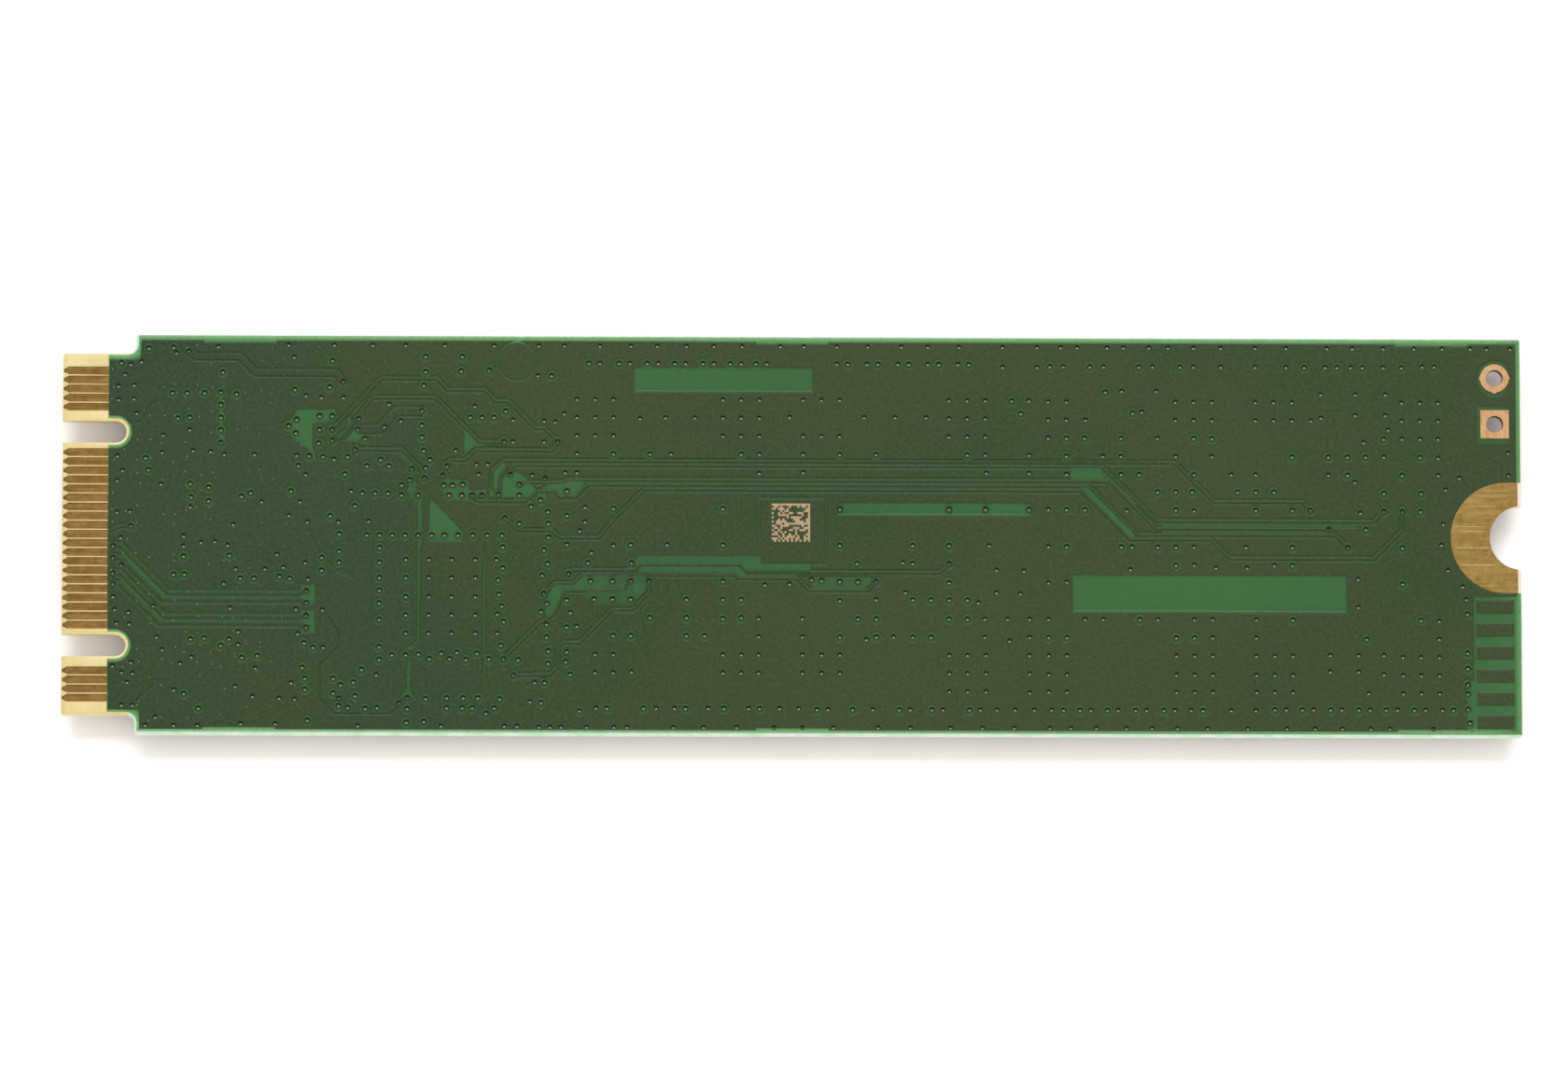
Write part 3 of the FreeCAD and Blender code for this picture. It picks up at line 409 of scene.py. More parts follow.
# Capacitor via pairs: the ringed via and how far along the card its plain neighbour lies
PAIR_VIAS = (
    (9.5, 0.6, (28.8, 30.45, 32.0, 33.5, 35.05, 36.55, 37.95)),
    (9.5, -0.6, (43.0, 44.65, 46.35, 48.0, 49.65)),
    (9.4, 0.75, (54.1, 56.3, 59.0, 61.25)),
    (9.4, -0.65, (69.9, 71.3)),
    (9.45, -0.65, (75.25,)),
    (-9.5, -0.6, (29.8, 34.1, 38.15)),
    (-9.5, -0.85, (36.2,)),
    (-9.5, 0.7, (31.8,)),
    (-9.55, 1.1, (43.25,)),
    (-9.55, 0.6, (41.3, 45.8, 47.6, 49.65, 55.7, 57.2, 58.75, 60.3)),
    (-9.55, -0.65, (54.8, 62.45)),
    (-9.5, 0.62, (66.4, 67.9, 69.45, 71.0, 72.5, 74.05)),
    (-9.5, -0.6, (76.2,)),
)

# Ringed vias: places along and across the card
RINGED_VIAS = (
    # Connector end
    (4.7, 10.25), (6.05, 10.3), (6.9, 10.1), (3.2, 9.45), (8.75, 8.95), (6.0, 7.8), (6.8, 7.8),
    (7.75, 7.8), (8.65, 7.85), (9.5, 7.75), (8.65, 7.15), (8.65, 6.45), (8.65, 5.75), (8.65, 5.05),
    (6.3, 6.4), (6.95, 6.45), (4.55, 4.2), (4.7, 3.55), (7.0, 2.8), (8.0, 2.6), (7.05, 2.05),
    (8.0, 1.85), (9.8, 2.1), (10.3, 2.3), (3.75, 0.45), (2.8, -0.65), (2.8, -1.3), (2.8, -2.15),
    (2.8, -2.75), (6.65, -1.2), (9.15, -1.15), (9.75, -2.4), (10.5, -2.4), (6.1, -2.2), (6.7, -2.2),
    (11.9, -2.3), (7.05, -5.75), (7.8, -5.7), (9.15, -5.75), (8.7, -6.1), (9.85, -6.75), (10.7, -6.65),
    (6.7, -8.75), (7.5, -9.55),
    # Beside the controller
    (14.75, 9.6), (15.35, 8.45), (12.7, 8.0), (14.6, 8.15), (19.85, 9.85), (21.85, 9.85), (19.85, 9.0),
    (21.8, 9.05), (23.35, 9.1), (19.75, 8.25), (24.25, 6.85), (22.3, 6.5), (22.95, 6.5), (23.6, 6.5),
    (12.8, 6.35), (14.05, 6.55), (14.75, 6.55), (16.2, 6.4), (19.65, 6.85), (12.35, 6.0), (14.05, 5.8),
    (14.75, 5.8), (16.15, 5.8), (19.65, 6.05), (19.65, 5.4), (12.75, 5.6), (14.0, 5.05), (14.75, 5.2),
    (16.55, 5.3), (24.15, 5.15), (16.0, 4.7), (19.75, 4.65), (13.5, 4.35), (14.25, 4.3), (15.6, 4.3),
    (17.4, 4.15), (20.1, 4.15), (12.9, 3.8), (16.65, 3.8), (17.85, 3.8), (19.1, 3.65), (21.05, 3.8),
    (20.8, 3.3), (15.45, 3.35), (24.5, 3.35), (19.8, 3.15), (19.0, 3.05), (12.5, 2.4), (12.45, -2.4),
    (16.4, 2.3), (17.1, 2.3), (17.8, 2.3), (18.55, 2.75), (18.55, 2.2), (19.45, 2.2), (16.0, 1.6),
    (14.65, 1.05), (15.15, 0.05), (15.15, -0.9), (15.15, -1.5), (14.2, -1.25), (14.2, -1.95),
    (24.1, -0.65), (23.75, -1.35), (24.1, -1.8), (23.85, -2.45), (23.9, -3.25), (24.05, -3.9),
    (23.8, -4.35), (24.15, -4.75), (24.0, -6.05), (20.85, 2.75), (21.35, 2.75), (21.9, 2.8),
    (21.15, 2.2), (21.85, 2.2), (22.4, 2.2), (22.95, 2.2), (23.85, 2.25), (25.0, 2.8), (25.0, 2.2),
    (25.65, 1.6), (24.2, 0.95), (25.0, 0.65), (13.25, -5.95), (13.75, -6.2), (13.15, -7.3),
    (13.3, -7.9), (13.3, -8.5), (14.85, -7.9), (15.25, -8.25), (14.85, -8.7), (15.95, -8.1),
    (16.4, -7.4), (16.05, -8.85), (15.15, -9.4), (15.65, -9.5), (16.6, -9.55), (17.25, -9.5),
    (13.45, -10.2), (18.85, -10.3), (19.8, -10.25), (18.9, -8.95), (18.9, -9.55), (19.9, -9.0),
    (21.05, -8.95), (21.95, -8.95), (22.75, -8.95), (23.95, -9.0), (21.05, -9.5), (21.9, -9.5),
    (22.45, -9.5), (23.65, -9.5), (23.2, -9.8), (18.05, -6.6), (18.8, -6.6), (19.5, -6.55),
    (20.1, -6.8), (20.75, -6.5), (21.2, -6.8), (21.6, -6.45), (22.1, -6.85), (22.7, -6.5),
    (23.35, -6.8), (24.15, -6.8), (24.95, -6.85), (24.7, -7.7),
    # Along the flash row
    (26.75, 8.8), (27.1, 5.15), (30.15, 4.5), (32.15, 4.5), (37.15, 4.5), (26.15, 1.95), (26.55, 1.3),
    (26.6, 0.65), (26.6, -0.1), (26.35, -0.8), (26.55, -1.55), (26.25, -2.2), (26.35, -3.2),
    (26.5, -3.75), (27.6, 2.45), (27.6, 1.1), (27.6, -0.5), (28.75, -1.5), (27.7, -2.1), (30.15, 1.5),
    (31.1, -0.5), (31.15, -1.5), (36.15, 1.5), (36.15, -0.5), (28.9, -2.5), (30.1, -2.5), (31.1, -2.5),
    (32.1, -2.5), (36.15, -2.5), (27.6, -3.55), (29.1, -3.5), (30.1, -3.5), (31.1, -3.5), (34.15, -3.5),
    (36.15, -3.5), (37.15, -3.5), (26.2, -4.2), (26.5, -4.9), (26.5, -5.6), (26.6, -6.35),
    (26.6, -7.05), (26.4, -8.1), (26.2, -9.2), (27.6, -5.05), (27.6, -6.4), (27.55, -6.95),
    (27.8, -7.65), (28.3, -9.65), (32.15, -4.5), (34.15, -4.5), (36.15, -4.55), (37.15, -4.5),
    (30.15, -5.5), (31.1, -5.5), (34.15, -5.5), (35.15, -5.5), (42.55, 4.5), (44.55, 4.5), (49.55, 4.5),
    (52.0, 7.5), (52.5, 6.8), (42.55, -0.5), (46.55, -0.5), (48.55, -0.5), (43.5, -1.5), (46.55, -1.5),
    (48.55, -1.5), (48.55, -2.55), (44.55, -2.5), (42.55, -3.55), (46.55, -3.5), (47.55, -3.5),
    (48.55, -3.5), (49.55, -3.5), (43.55, -4.55), (44.55, -4.55), (48.55, -4.55), (49.55, -4.55),
    (42.55, -5.55), (44.55, -5.55), (46.55, -5.55), (47.55, -5.55), (68.1, 9.4), (57.15, 8.0),
    (58.65, 6.85), (55.0, 5.45), (56.0, 5.45), (58.0, 5.45), (62.0, 5.45), (63.0, 5.45), (55.0, 4.45),
    (58.0, 4.45), (67.4, 4.45), (69.4, 4.45), (58.0, 3.45), (59.0, 3.45), (62.0, 3.45), (60.0, 2.5),
    (61.0, 2.5), (61.9, 2.5), (64.4, 2.5), (65.4, 2.5), (66.4, 2.5), (55.0, 1.5), (56.0, 1.5),
    (61.0, 1.5), (65.4, 1.5), (67.4, 1.5), (68.4, 1.5), (69.4, 0.45), (55.0, -0.55), (58.0, -0.55),
    (60.0, -0.55), (61.0, -0.55), (67.4, -0.55), (61.0, -1.55), (67.4, -1.55), (59.0, -4.55),
    (67.4, -4.55), (54.0, -5.55), (55.0, -5.55), (61.0, -5.55), (62.0, -5.55),
    # Screw end
    (73.45, 9.4), (72.45, 5.45), (70.45, 4.45), (71.45, 4.45), (74.45, 4.45), (70.45, 3.45),
    (73.45, 3.45), (72.45, 2.45), (74.5, 2.45), (72.45, 1.45), (73.45, 1.45), (74.45, 1.45),
    (71.45, 0.45), (70.45, -0.55), (73.45, -0.55), (73.45, -2.55), (74.45, -4.55), (71.45, -5.6),
    (77.0, -4.2), (77.0, -6.35), (77.0, -7.2), (77.0, -8.1), (77.0, -8.6), (77.0, -9.45), (77.1, -10.2),
)

# Rows of ringed vias about the controller
RINGED_VIA_GRIDS = (
    ((16.65, 17.35, 18.05, 18.75, 19.45, 20.2, 20.9, 21.65, 22.45, 23.25, 24.05), (0.0,)),
    ((17.35,), (-0.7, -1.5, -2.35, -3.05, -3.75, -4.65, -6.15, -6.85)),
    ((18.8,), (-1.35, -2.35, -3.4, -4.4, -5.4)),
)

# Copper-free pockets that are too small for the part's source
POCKETS = (
    ((13.05, -3.85), (13.85, -3.85), (13.85, -2.75), (13.05, -2.75)),
    ((13.05, -5.4), (13.85, -5.4), (13.85, -4.15), (13.05, -4.15)),
    ((12.85, 6.9), (12.45, 6.4), (12.25, 5.9), (12.55, 5.3), (13.38, 4.79), (13.7, 4.1), (13.9, 4.1),
     (13.79, 4.62), (13.6, 5.05), (13.62, 5.97), (13.85, 6.18), (14.75, 6.25), (15.05, 6.5), (14.9, 6.95)),
    ((15.4, 5.2), (16.05, 5.18), (16.65, 5.4), (16.9, 5.56), (16.4, 5.62), (16.45, 6.0), (15.97, 5.97),
     (15.8, 5.62)),
    ((15.75, 6.65), (15.6, 6.5), (15.5, 5.91), (14.88, 5.38), (15.12, 5.2), (15.82, 5.9)),
    ((18.26, 4.57), (18.79, 4.09), (19.14, 3.56), (19.5, 3.73), (18.67, 4.6)),
    ((19.03, 3.03), (18.82, 2.44), (19.06, 2.1), (19.32, 1.7), (19.5, 1.8), (19.32, 2.32), (19.44, 2.91)),
    ((20.67, 3.2), (20.75, 2.4), (21.17, 1.92), (22.52, 1.94), (22.7, 2.14), (23.25, 2.14), (23.2, 2.6),
     (22.8, 2.5), (22.28, 2.52), (22.2, 3.03), (21.28, 3.08)),
    ((24.06, 3.1), (24.02, 2.05), (25.58, 2.05), (26.0, 2.5), (25.64, 2.81), (25.34, 3.25), (24.64, 3.55),
     (24.36, 3.58)),
    ((23.34, 2.16), (23.7, 2.16), (23.82, 2.52), (23.85, 3.2), (24.15, 3.72), (24.4, 3.95), (23.93, 3.97),
     (23.36, 3.25)),
    ((25.75, 1.87), (26.34, 1.7), (26.55, 2.1), (26.4, 2.38), (26.05, 2.36)),
    ((27.5, 3.0), (26.0, 2.6), (27.0, 2.5), (27.3, 2.05), (28.0, 2.1), (28.6, 2.9)),
    ((31.5, -1.12), (38.25, -1.12), (38.25, -1.53), (40.95, -1.53), (40.95, -1.95), (37.45, -1.95),
     (37.07, -1.57), (31.66, -1.57), (31.4, -1.8), (31.2, -1.5)),
    ((31.45, -2.05), (36.85, -2.05), (37.02, -2.22), (37.5, -2.22), (37.45, -2.1), (37.03, -1.68),
     (31.69, -1.68)),
    ((60.2, 0.53), (71.0, 0.53), (71.0, 0.8), (60.2, 0.8)),
    ((60.2, 0.2), (69.6, 0.2), (69.6, 0.38), (60.2, 0.38)),
    ((26.45, -4.45), (26.45, -4.05), (26.55, -3.3), (26.92, -2.72), (27.98, -2.72), (28.4, -2.3),
     (29.2, -2.3), (29.2, -2.95), (27.52, -2.98), (26.97, -4.2)),
    ((55.8, 2.55), (56.2, 2.8), (58.88, 0.12), (58.48, -0.13)),
    ((57.0, 3.2), (57.55, 3.2), (57.05, 3.72), (57.0, 3.72)),
    ((8.5, 5.05), (8.8, 5.05), (8.8, 7.85), (8.5, 7.85)),
    ((18.4, -9.0), (19.3, -9.0), (19.1, -8.4), (19.1, -6.9), (18.85, -6.9), (18.85, -8.4)),
    ((76.95, -10.7), (77.4, -10.7), (77.4, -7.9), (77.1, -7.9), (76.95, -8.3)),
)

# Copper that runs on under the edge of the mask, behind the contacts: low and high place across the card
CONTACT_TAILS = ((6.65, 9.62), (-5.1, 4.6), (-9.62, -7.15))
CONTACT_TAIL_START = 2.4
CONTACT_TAIL_END = 2.8

# Fine channels etched between the pour's areas: width, then the run of each
FINE_CHANNELS = (
    (0.18, ((19.5, -0.8), (19.5, -5.8), (19.05, -6.2))),
    (0.16, ((23.1, -1.1), (23.1, -7.8))),
    (0.09, ((15.15, -5.4), (15.1, -6.2), (14.1, -7.2), (14.1, -9.0), (14.9, -9.85), (18.05, -9.85),
            (18.5, -9.3), (18.85, -8.3))),
    (0.1, ((14.0, -0.8), (15.0, -2.0))),
    (0.28, ((19.55, 2.0), (19.55, -0.4))),
    (0.1, ((23.35, 9.1), (23.8, 9.3))),
    (0.1, ((3.9, 6.1), (4.2, 6.15), (4.6, 6.6), (4.75, 7.1))),
    (0.1, ((4.1, -9.2), (4.9, -8.4), (4.9, -7.6))),
)

# Short tracks that are too fine for the part's source
EXTRA_TRACK_GAP = 0.1
EXTRA_TRACKS = (
    (0.13, ((26.5, 4.66), (26.75, 4.66), (27.1, 5.05))),
    (0.13, ((2.5, 0.15), (3.3, 0.45), (3.75, 0.45))),
    (0.42, ((16.15, 5.8), (17.3, 5.8), (18.25, 6.8), (19.65, 6.8))),
    (0.32, ((6.95, 10.05), (7.25, 9.8), (9.65, 9.8), (10.55, 8.92), (14.9, 8.92), (15.3, 8.5))),
)

# Copper that reaches nearer to the screw end than the part's source has it: width and run
END_COPPER = (0.5, ((79.53, 3.2), (79.53, 10.6)))


def place(x, y, z):
    """Point in metres from a plan position and a level in millimetres."""
    return Vector((BOARD_LOW.x + x * MM, y * MM, z * MM))


def clamped(share):
    """Share kept between none and all."""
    return min(max(share, 0.0), 1.0)


def arc(x, y, radius, start, end, sides):
    """Points of an arc between two angles in degrees."""
    angles = [math.radians(start + (end - start) * i / sides) for i in range(sides + 1)]
    return [(x + radius * math.cos(a), y + radius * math.sin(a)) for a in angles]


def circle(x, y, radius, sides):
    """Round outline."""
    return arc(x, y, radius, 0, 360, sides)[:-1]


def rectangle(low, high):
    """Outline between two opposite corners."""
    return [low, (high[0], low[1]), high, (low[0], high[1])]


def bar(start, end, y, width):
    """Rectangle along the card, of one width about a line."""
    return rectangle((start, y - width / 2), (end, y + width / 2))


def chamfered(low, high, cut):
    """Rectangle with its corners cut off."""
    return [
        (low[0] + cut, low[1]), (high[0] - cut, low[1]), (high[0], low[1] + cut), (high[0], high[1] - cut),
        (high[0] - cut, high[1]), (low[0] + cut, high[1]), (low[0], high[1] - cut), (low[0], low[1] + cut),
    ]


def key_slot(centre, growth=0.0):
    """Outline of a key slot with a full round end, from below the slot to above it."""
    reach = KEY_SLOT_WIDTH / 2 + growth
    end = arc(KEY_SLOT_DEPTH - KEY_SLOT_WIDTH / 2, centre, reach, -90, 90, KEY_SLOT_SIDES)
    return [(0.0, centre - reach)] + end + [(0.0, centre + reach)]


def board_outline():
    """Edge of the laminate with its slots, shoulders and screw notch, anticlockwise."""
    corner = BOARD_CORNER
    fillet = SHOULDER_FILLET
    outline = arc(corner, corner - HALF_TONGUE, corner, 180, 270, CORNER_SIDES)
    outline += arc(TONGUE_LENGTH - fillet, -HALF_TONGUE - fillet, fillet, 90, 0, SHOULDER_SIDES)
    outline += arc(TONGUE_LENGTH + corner, corner - HALF_WIDTH, corner, 180, 270, CORNER_SIDES)
    outline += arc(BOARD_LENGTH - corner, corner - HALF_WIDTH, corner, 270, 360, CORNER_SIDES)
    outline += arc(BOARD_LENGTH, 0, NOTCH_RADIUS, 270, 90, NOTCH_SIDES)
    outline += arc(BOARD_LENGTH - corner, HALF_WIDTH - corner, corner, 0, 90, CORNER_SIDES)
    outline += arc(TONGUE_LENGTH + corner, HALF_WIDTH - corner, corner, 90, 180, CORNER_SIDES)
    outline += arc(TONGUE_LENGTH - fillet, HALF_TONGUE + fillet, fillet, 0, -90, SHOULDER_SIDES)
    outline += arc(corner, HALF_TONGUE - corner, corner, 90, 180, CORNER_SIDES)
    for centre in KEY_SLOT_CENTRES:
        outline += key_slot(centre)[::-1]
    return outline


def screw_pad_outline():
    """Gold pad about the screw notch, anticlockwise."""
    end = BOARD_LENGTH - SCREW_PAD_END_GAP
    half_angle = math.degrees(math.acos(SCREW_PAD_END_GAP / NOTCH_RADIUS))
    notch = arc(BOARD_LENGTH, 0, NOTCH_RADIUS, 180 + half_angle, 180 - half_angle, PAD_NOTCH_SIDES)
    rim = arc(SCREW_PAD_CENTRE, 0, SCREW_PAD_RADIUS, 90, 270, PAD_RIM_SIDES)
    return notch + [(end, SCREW_PAD_RADIUS)] + rim + [(end, -SCREW_PAD_RADIUS)]


def header_round_outline():
    """Round header land with the small nubs of its plating connections."""
    outline = []
    for angle in range(0, 360, HEADER_LAND_STEP):
        reach = HEADER_LAND_REACH
        for nub in HEADER_NUB_ANGLES:
            reach += HEADER_NUB_REACH * max(0.0, 1 - abs(angle - nub) / HEADER_NUB_SPREAD)
        turn = math.radians(angle)
        outline.append((HEADER_X + reach * math.cos(turn), HEADER_ROUND_Y + reach * math.sin(turn)))
    return outline


def header_square_outline():
    """Square header land."""
    reach = HEADER_LAND_REACH
    return bar(HEADER_X - reach, HEADER_X + reach, HEADER_SQUARE_Y, 2 * reach)


def signed_area(outline):
    """Twice the area of an outline, positive when it runs anticlockwise."""
    return sum(a[0] * b[1] - b[0] * a[1] for a, b in zip(outline, outline[1:] + outline[:1]))


def anticlockwise(outline):
    """Outline in the direction that has a positive area."""
    return list(outline) if signed_area(outline) > 0 else list(outline[::-1])


def grown(outline, distance):
    """Outline moved to its right, so outward where it runs anticlockwise, with its corners mitred."""
    count = len(outline)
    moved = []
    for i in range(count):
        here = Vector(outline[i])
        arriving = (here - Vector(outline[i - 1])).normalized()
        leaving = (Vector(outline[(i + 1) % count]) - here).normalized()
        right = Vector((leaving.y, -leaving.x))
        across = Vector((arriving.y + leaving.y, -arriving.x - leaving.x))
        if across.length < LEAST_LENGTH:
            across = right.copy()
        across.normalize()
        stretch = max(across.dot(right), LEAST_MITRE)
        moved.append(tuple(here + across * (distance / stretch)))
    return moved


def strip(route, width):
    """Outline of a line of one width along straight runs."""
    points = [Vector(p) for p in route]
    runs = [(b - a).normalized() for a, b in zip(points, points[1:])]
    left = []
    right = []
    for i, point in enumerate(points):
        leaving = runs[min(i, len(runs) - 1)]
        along = (runs[max(i - 1, 0)] + leaving).normalized()
        across = Vector((-along.y, along.x)) * (width / 2 / along.dot(leaving))
        left.append(tuple(point + across))
        right.append(tuple(point - across))
    return right + left[::-1]


def inside(x, y, outline):
    """Whether an outline goes round a place."""
    crossed = False
    for (ax, ay), (bx, by) in zip(outline, outline[1:] + outline[:1]):
        if (ay > y) != (by > y) and x < ax + (y - ay) * (bx - ax) / (by - ay):
            crossed = not crossed
    return crossed


def rim_edges(faces):
    """Edges that only one of the faces has, each in that face's direction."""
    edges = {edge for face in faces for edge in zip(face, face[1:] + face[:1])}
    return sorted((a, b) for a, b in edges if (b, a) not in edges)


def chains(follow):
    """Closed rounds of a table that names each entry's next one, which it uses up."""
    rounds = []
    while follow:
        start = min(follow)
        loop = [start]
        here = follow.pop(start)
        while here != start:
            loop.append(here)
            here = follow.pop(here)
        rounds.append(loop)
    return rounds


def outlines(node, level):
    """Outlines of a CAD node's flat faces at one level, clockwise where they go round gaps."""
    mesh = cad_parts[node].data
    corners = {}
    faces = []
    for face in mesh.polygons:
        points = [mesh.vertices[i].co for i in face.vertices]
        if all(abs(p.z / MM - level) < LEVEL_TOLERANCE for p in points):
            keys = []
            for p in points:
                plan = ((p.x - BOARD_LOW.x) / MM, p.y / MM)
                keys.append(tuple(round(c, PLAN_DIGITS) for c in plan))
                corners.setdefault(keys[-1], plan)
            backward = signed_area([corners[k] for k in keys]) < 0
            faces.append(keys[::-1] if backward else keys)
    return [[corners[k] for k in loop] for loop in chains(dict(rim_edges(faces)))]


def islands(node):
    """Boxes of a CAD node's separate solids, as low and high corners in plan position and level."""
    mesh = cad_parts[node].data
    parent = {}

    def root(key):
        while parent[key] != key:
            key = parent[key]
        return key

    keys = [tuple(round(c, FRAME_DIGITS) for c in v.co) for v in mesh.vertices]
    for key in keys:
        parent.setdefault(key, key)
    for face in mesh.polygons:
        first = root(keys[face.vertices[0]])
        for index in face.vertices[1:]:
            parent[root(keys[index])] = first
    groups = {}
    for key in parent:
        groups.setdefault(root(key), []).append(key)
    shift = BOARD_LOW.x / MM
    boxes = []
    for points in groups.values():
        low = [min(p[i] for p in points) / MM for i in range(3)]
        high = [max(p[i] for p in points) / MM for i in range(3)]
        boxes.append(((low[0] - shift, low[1], low[2]), (high[0] - shift, high[1], high[2])))
    return sorted(boxes)


def level_at(level, where):
    """Level that is either one number or worked out from a place."""
    return level(where) if callable(level) else level


class Plan:
    """Flat outlines of several kinds, cut up together into triangles that know what covers them."""

    def __init__(self):
        self.points = []
        self.levels = []
        self.marks = []
        self.faces = []
        self.kinds = []

    def add(self, kind, outline, sign=1, level=None, mark_below=None):
        """Lay down an outline; its points may have a level, and a mark where they lie below a line."""
        start = len(self.points)
        turned = anticlockwise(outline)
        self.points += [Vector(p) for p in turned]
        self.levels += [level] * len(outline)
        self.marks += [mark_below is not None and p[1] < mark_below for p in turned]
        self.faces.append(list(range(start, len(self.points))))
        self.kinds.append((kind, sign))

    def add_loops(self, kind, loops, growth):
        """Lay down grown outlines, with those that run clockwise taken away."""
        for loop in loops:
            outline = grown(loop, growth)
            if signed_area(loop) > 0 and signed_area(outline) > 0:
                self.add(kind, outline)
            elif signed_area(loop) < 0:
                self.add(kind, outline, -1)

    def triangles(self):
        """Points, triangles, and how often each kind of outline covers each triangle."""
        points, _, faces, sources, _, origins = delaunay_2d_cdt(
            self.points, [], self.faces, TRIANGLES_INSIDE, PLAN_TOLERANCE)
        self.fixed = {}
        self.marked = set()
        for i, source in enumerate(sources):
            for index in source:
                if self.levels[index] is not None:
                    self.fixed[i] = self.levels[index]
                if self.marks[index]:
                    self.marked.add(i)
        covers = []
        for origin in origins:
            cover = {}
            for index in origin:
                kind, sign = self.kinds[index]
                cover[kind] = cover.get(kind, 0) + sign
            covers.append(cover)
        return points, faces, covers


class Solids:
    """Closed solids gathered into one piece."""

    def __init__(self):
        self.vertices = []
        self.faces = []

    def loft(self, *sections):
        """Skin through outlines with equally many points, from the lowest level to the highest."""
        start = len(self.vertices)
        count = len(sections[0][0])
        for outline, level in sections:
            self.vertices += [place(x, y, level_at(level, x)) for x, y in outline]
        for i in range(len(sections) - 1):
            low = start + i * count
            for j in range(count):
                k = (j + 1) % count
                self.faces.append([low + j, low + k, low + count + k, low + count + j])
        last = start + (len(sections) - 1) * count
        self.faces.append([start + j for j in range(count)][::-1])
        self.faces.append([last + j for j in range(count)])

    def rounded_box(self, low, high, edge):
        """Box with its edges and corners cut to the edge's size."""
        inner_low = (low[0] + edge, low[1] + edge)
        inner_high = (high[0] - edge, high[1] - edge)
        small = chamfered(inner_low, inner_high, edge * BOX_CORNER)
        full = chamfered(low[:2], high[:2], edge)
        self.loft((small, low[2]), (full, low[2] + edge), (full, high[2] - edge), (small, high[2]))

    def ball(self, x, y, low, high, radius):
        """Solder ball pressed flat at both ends."""
        middle = (low + high) / 2
        sections = []
        for i in range(BALL_RINGS + 1):
            share = 2 * i / BALL_RINGS - 1
            reach = radius * math.sqrt(1 - (BALL_FLATTENING * share) ** 2)
            sections.append((circle(x, y, reach, BALL_SIDES), middle + share * (high - low) / 2))
        self.loft(*sections)

    def fillet(self, box, ahead, board):
        """Solder that climbs from the board up the end face of a terminal."""
        low, high = box
        climb = board - (high[2] - low[2]) * SOLDER_CLIMB
        sections = []
        for share, spread in SOLDER_SLOPE:
            near = list(low[:2])
            far = list(high[:2])
            for axis in (0, 1):
                near[axis] -= max(-ahead[axis], 0) * spread + SOLDER_FILM
                far[axis] += max(ahead[axis], 0) * spread + SOLDER_FILM
            sections.append((rectangle(tuple(near), tuple(far)), climb + share * (board - climb)))
        self.loft(*sections)

    def plate(self, plan, wanted, top, bottom):
        """Sheet over the wanted triangles of a plan, between two levels that may vary with the place."""
        points, faces, covers = plan.triangles()
        kept = [list(face) for face, cover in zip(faces, covers) if wanted(cover)]
        used = sorted({i for face in kept for i in face})
        start = len(self.vertices)
        upper = {old: start + new for new, old in enumerate(used)}
        lower = {old: start + len(used) + new for new, old in enumerate(used)}
        for level in (top, bottom):
            self.vertices += [place(*points[i], level_at(level, points[i])) for i in used]
        for face in kept:
            self.faces.append([upper[i] for i in face])
            self.faces.append([lower[i] for i in face[::-1]])
        for a, b in rim_edges(kept):
            self.faces.append([upper[b], upper[a], lower[a], lower[b]])

    def drilled_plate(self, outline, hole, top, bottom):
        """Plate with a hole through it."""
        plan = Plan()
        plan.add("plate", outline)
        plan.add("hole", hole)
        self.plate(plan, lambda cover: "hole" not in cover, top, bottom)

    def piece(self, name, finish, slot, replaced=(), smooth=None):
        """Piece of the card from these solids."""
        new_object(name, self.vertices, self.faces, finish, replaced, smooth)


def link(obj):
    """Put an object in the scene."""
    scene.collection.objects.link(obj)
    return obj


def new_object(name, vertices, faces, finish, replaced=(), smooth=None):
    """Piece of the card from vertices in metres, riding on its one body."""
    mesh = bpy.data.meshes.new(name)
    mesh.from_pydata(vertices, [], faces)
    mesh.materials.append(finishes[finish])
    if smooth:
        mesh.shade_smooth()
        mesh.set_sharp_from_angle(angle=math.radians(smooth))
    obj = link(bpy.data.objects.new(name, mesh))
    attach(obj, "root")
    if replaced:
        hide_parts(*replaced)
    return obj


def all_vias():
    """Every via as its place and whether it has a ring."""
    vias = [(x, y, False) for x, y in PLAIN_VIAS]
    vias += [(x, y, True) for x, y in RINGED_VIAS]
    for grids, ringed in ((PLAIN_VIA_GRIDS, False), (RINGED_VIA_GRIDS, True)):
        for places, levels in grids:
            vias += [(x, y, ringed) for x in places for y in levels]
    for y, offset, places in PAIR_VIAS:
        for x in places:
            vias.append((x, y, True))
            vias.append((x + offset, y, False))
    return vias


def edge_distance(x, y):
    """How far a plan position lies from the nearest routed edge of the board."""
    side = abs(y)
    distances = [BOARD_LENGTH - x, HALF_WIDTH - side]
    fillet = (TONGUE_LENGTH - SHOULDER_FILLET, HALF_TONGUE + SHOULDER_FILLET)
    if x < fillet[0]:
        distances.append(HALF_TONGUE - side)
    elif side > fillet[1]:
        distances.append(x - TONGUE_LENGTH)
    else:
        distances.append(math.hypot(x - fillet[0], side - fillet[1]) - SHOULDER_FILLET)
    for centre in KEY_SLOT_CENTRES:
        along = max(x - (KEY_SLOT_DEPTH - KEY_SLOT_WIDTH / 2), 0)
        distances.append(math.hypot(along, y - centre) - KEY_SLOT_WIDTH / 2)
    return min(distances)


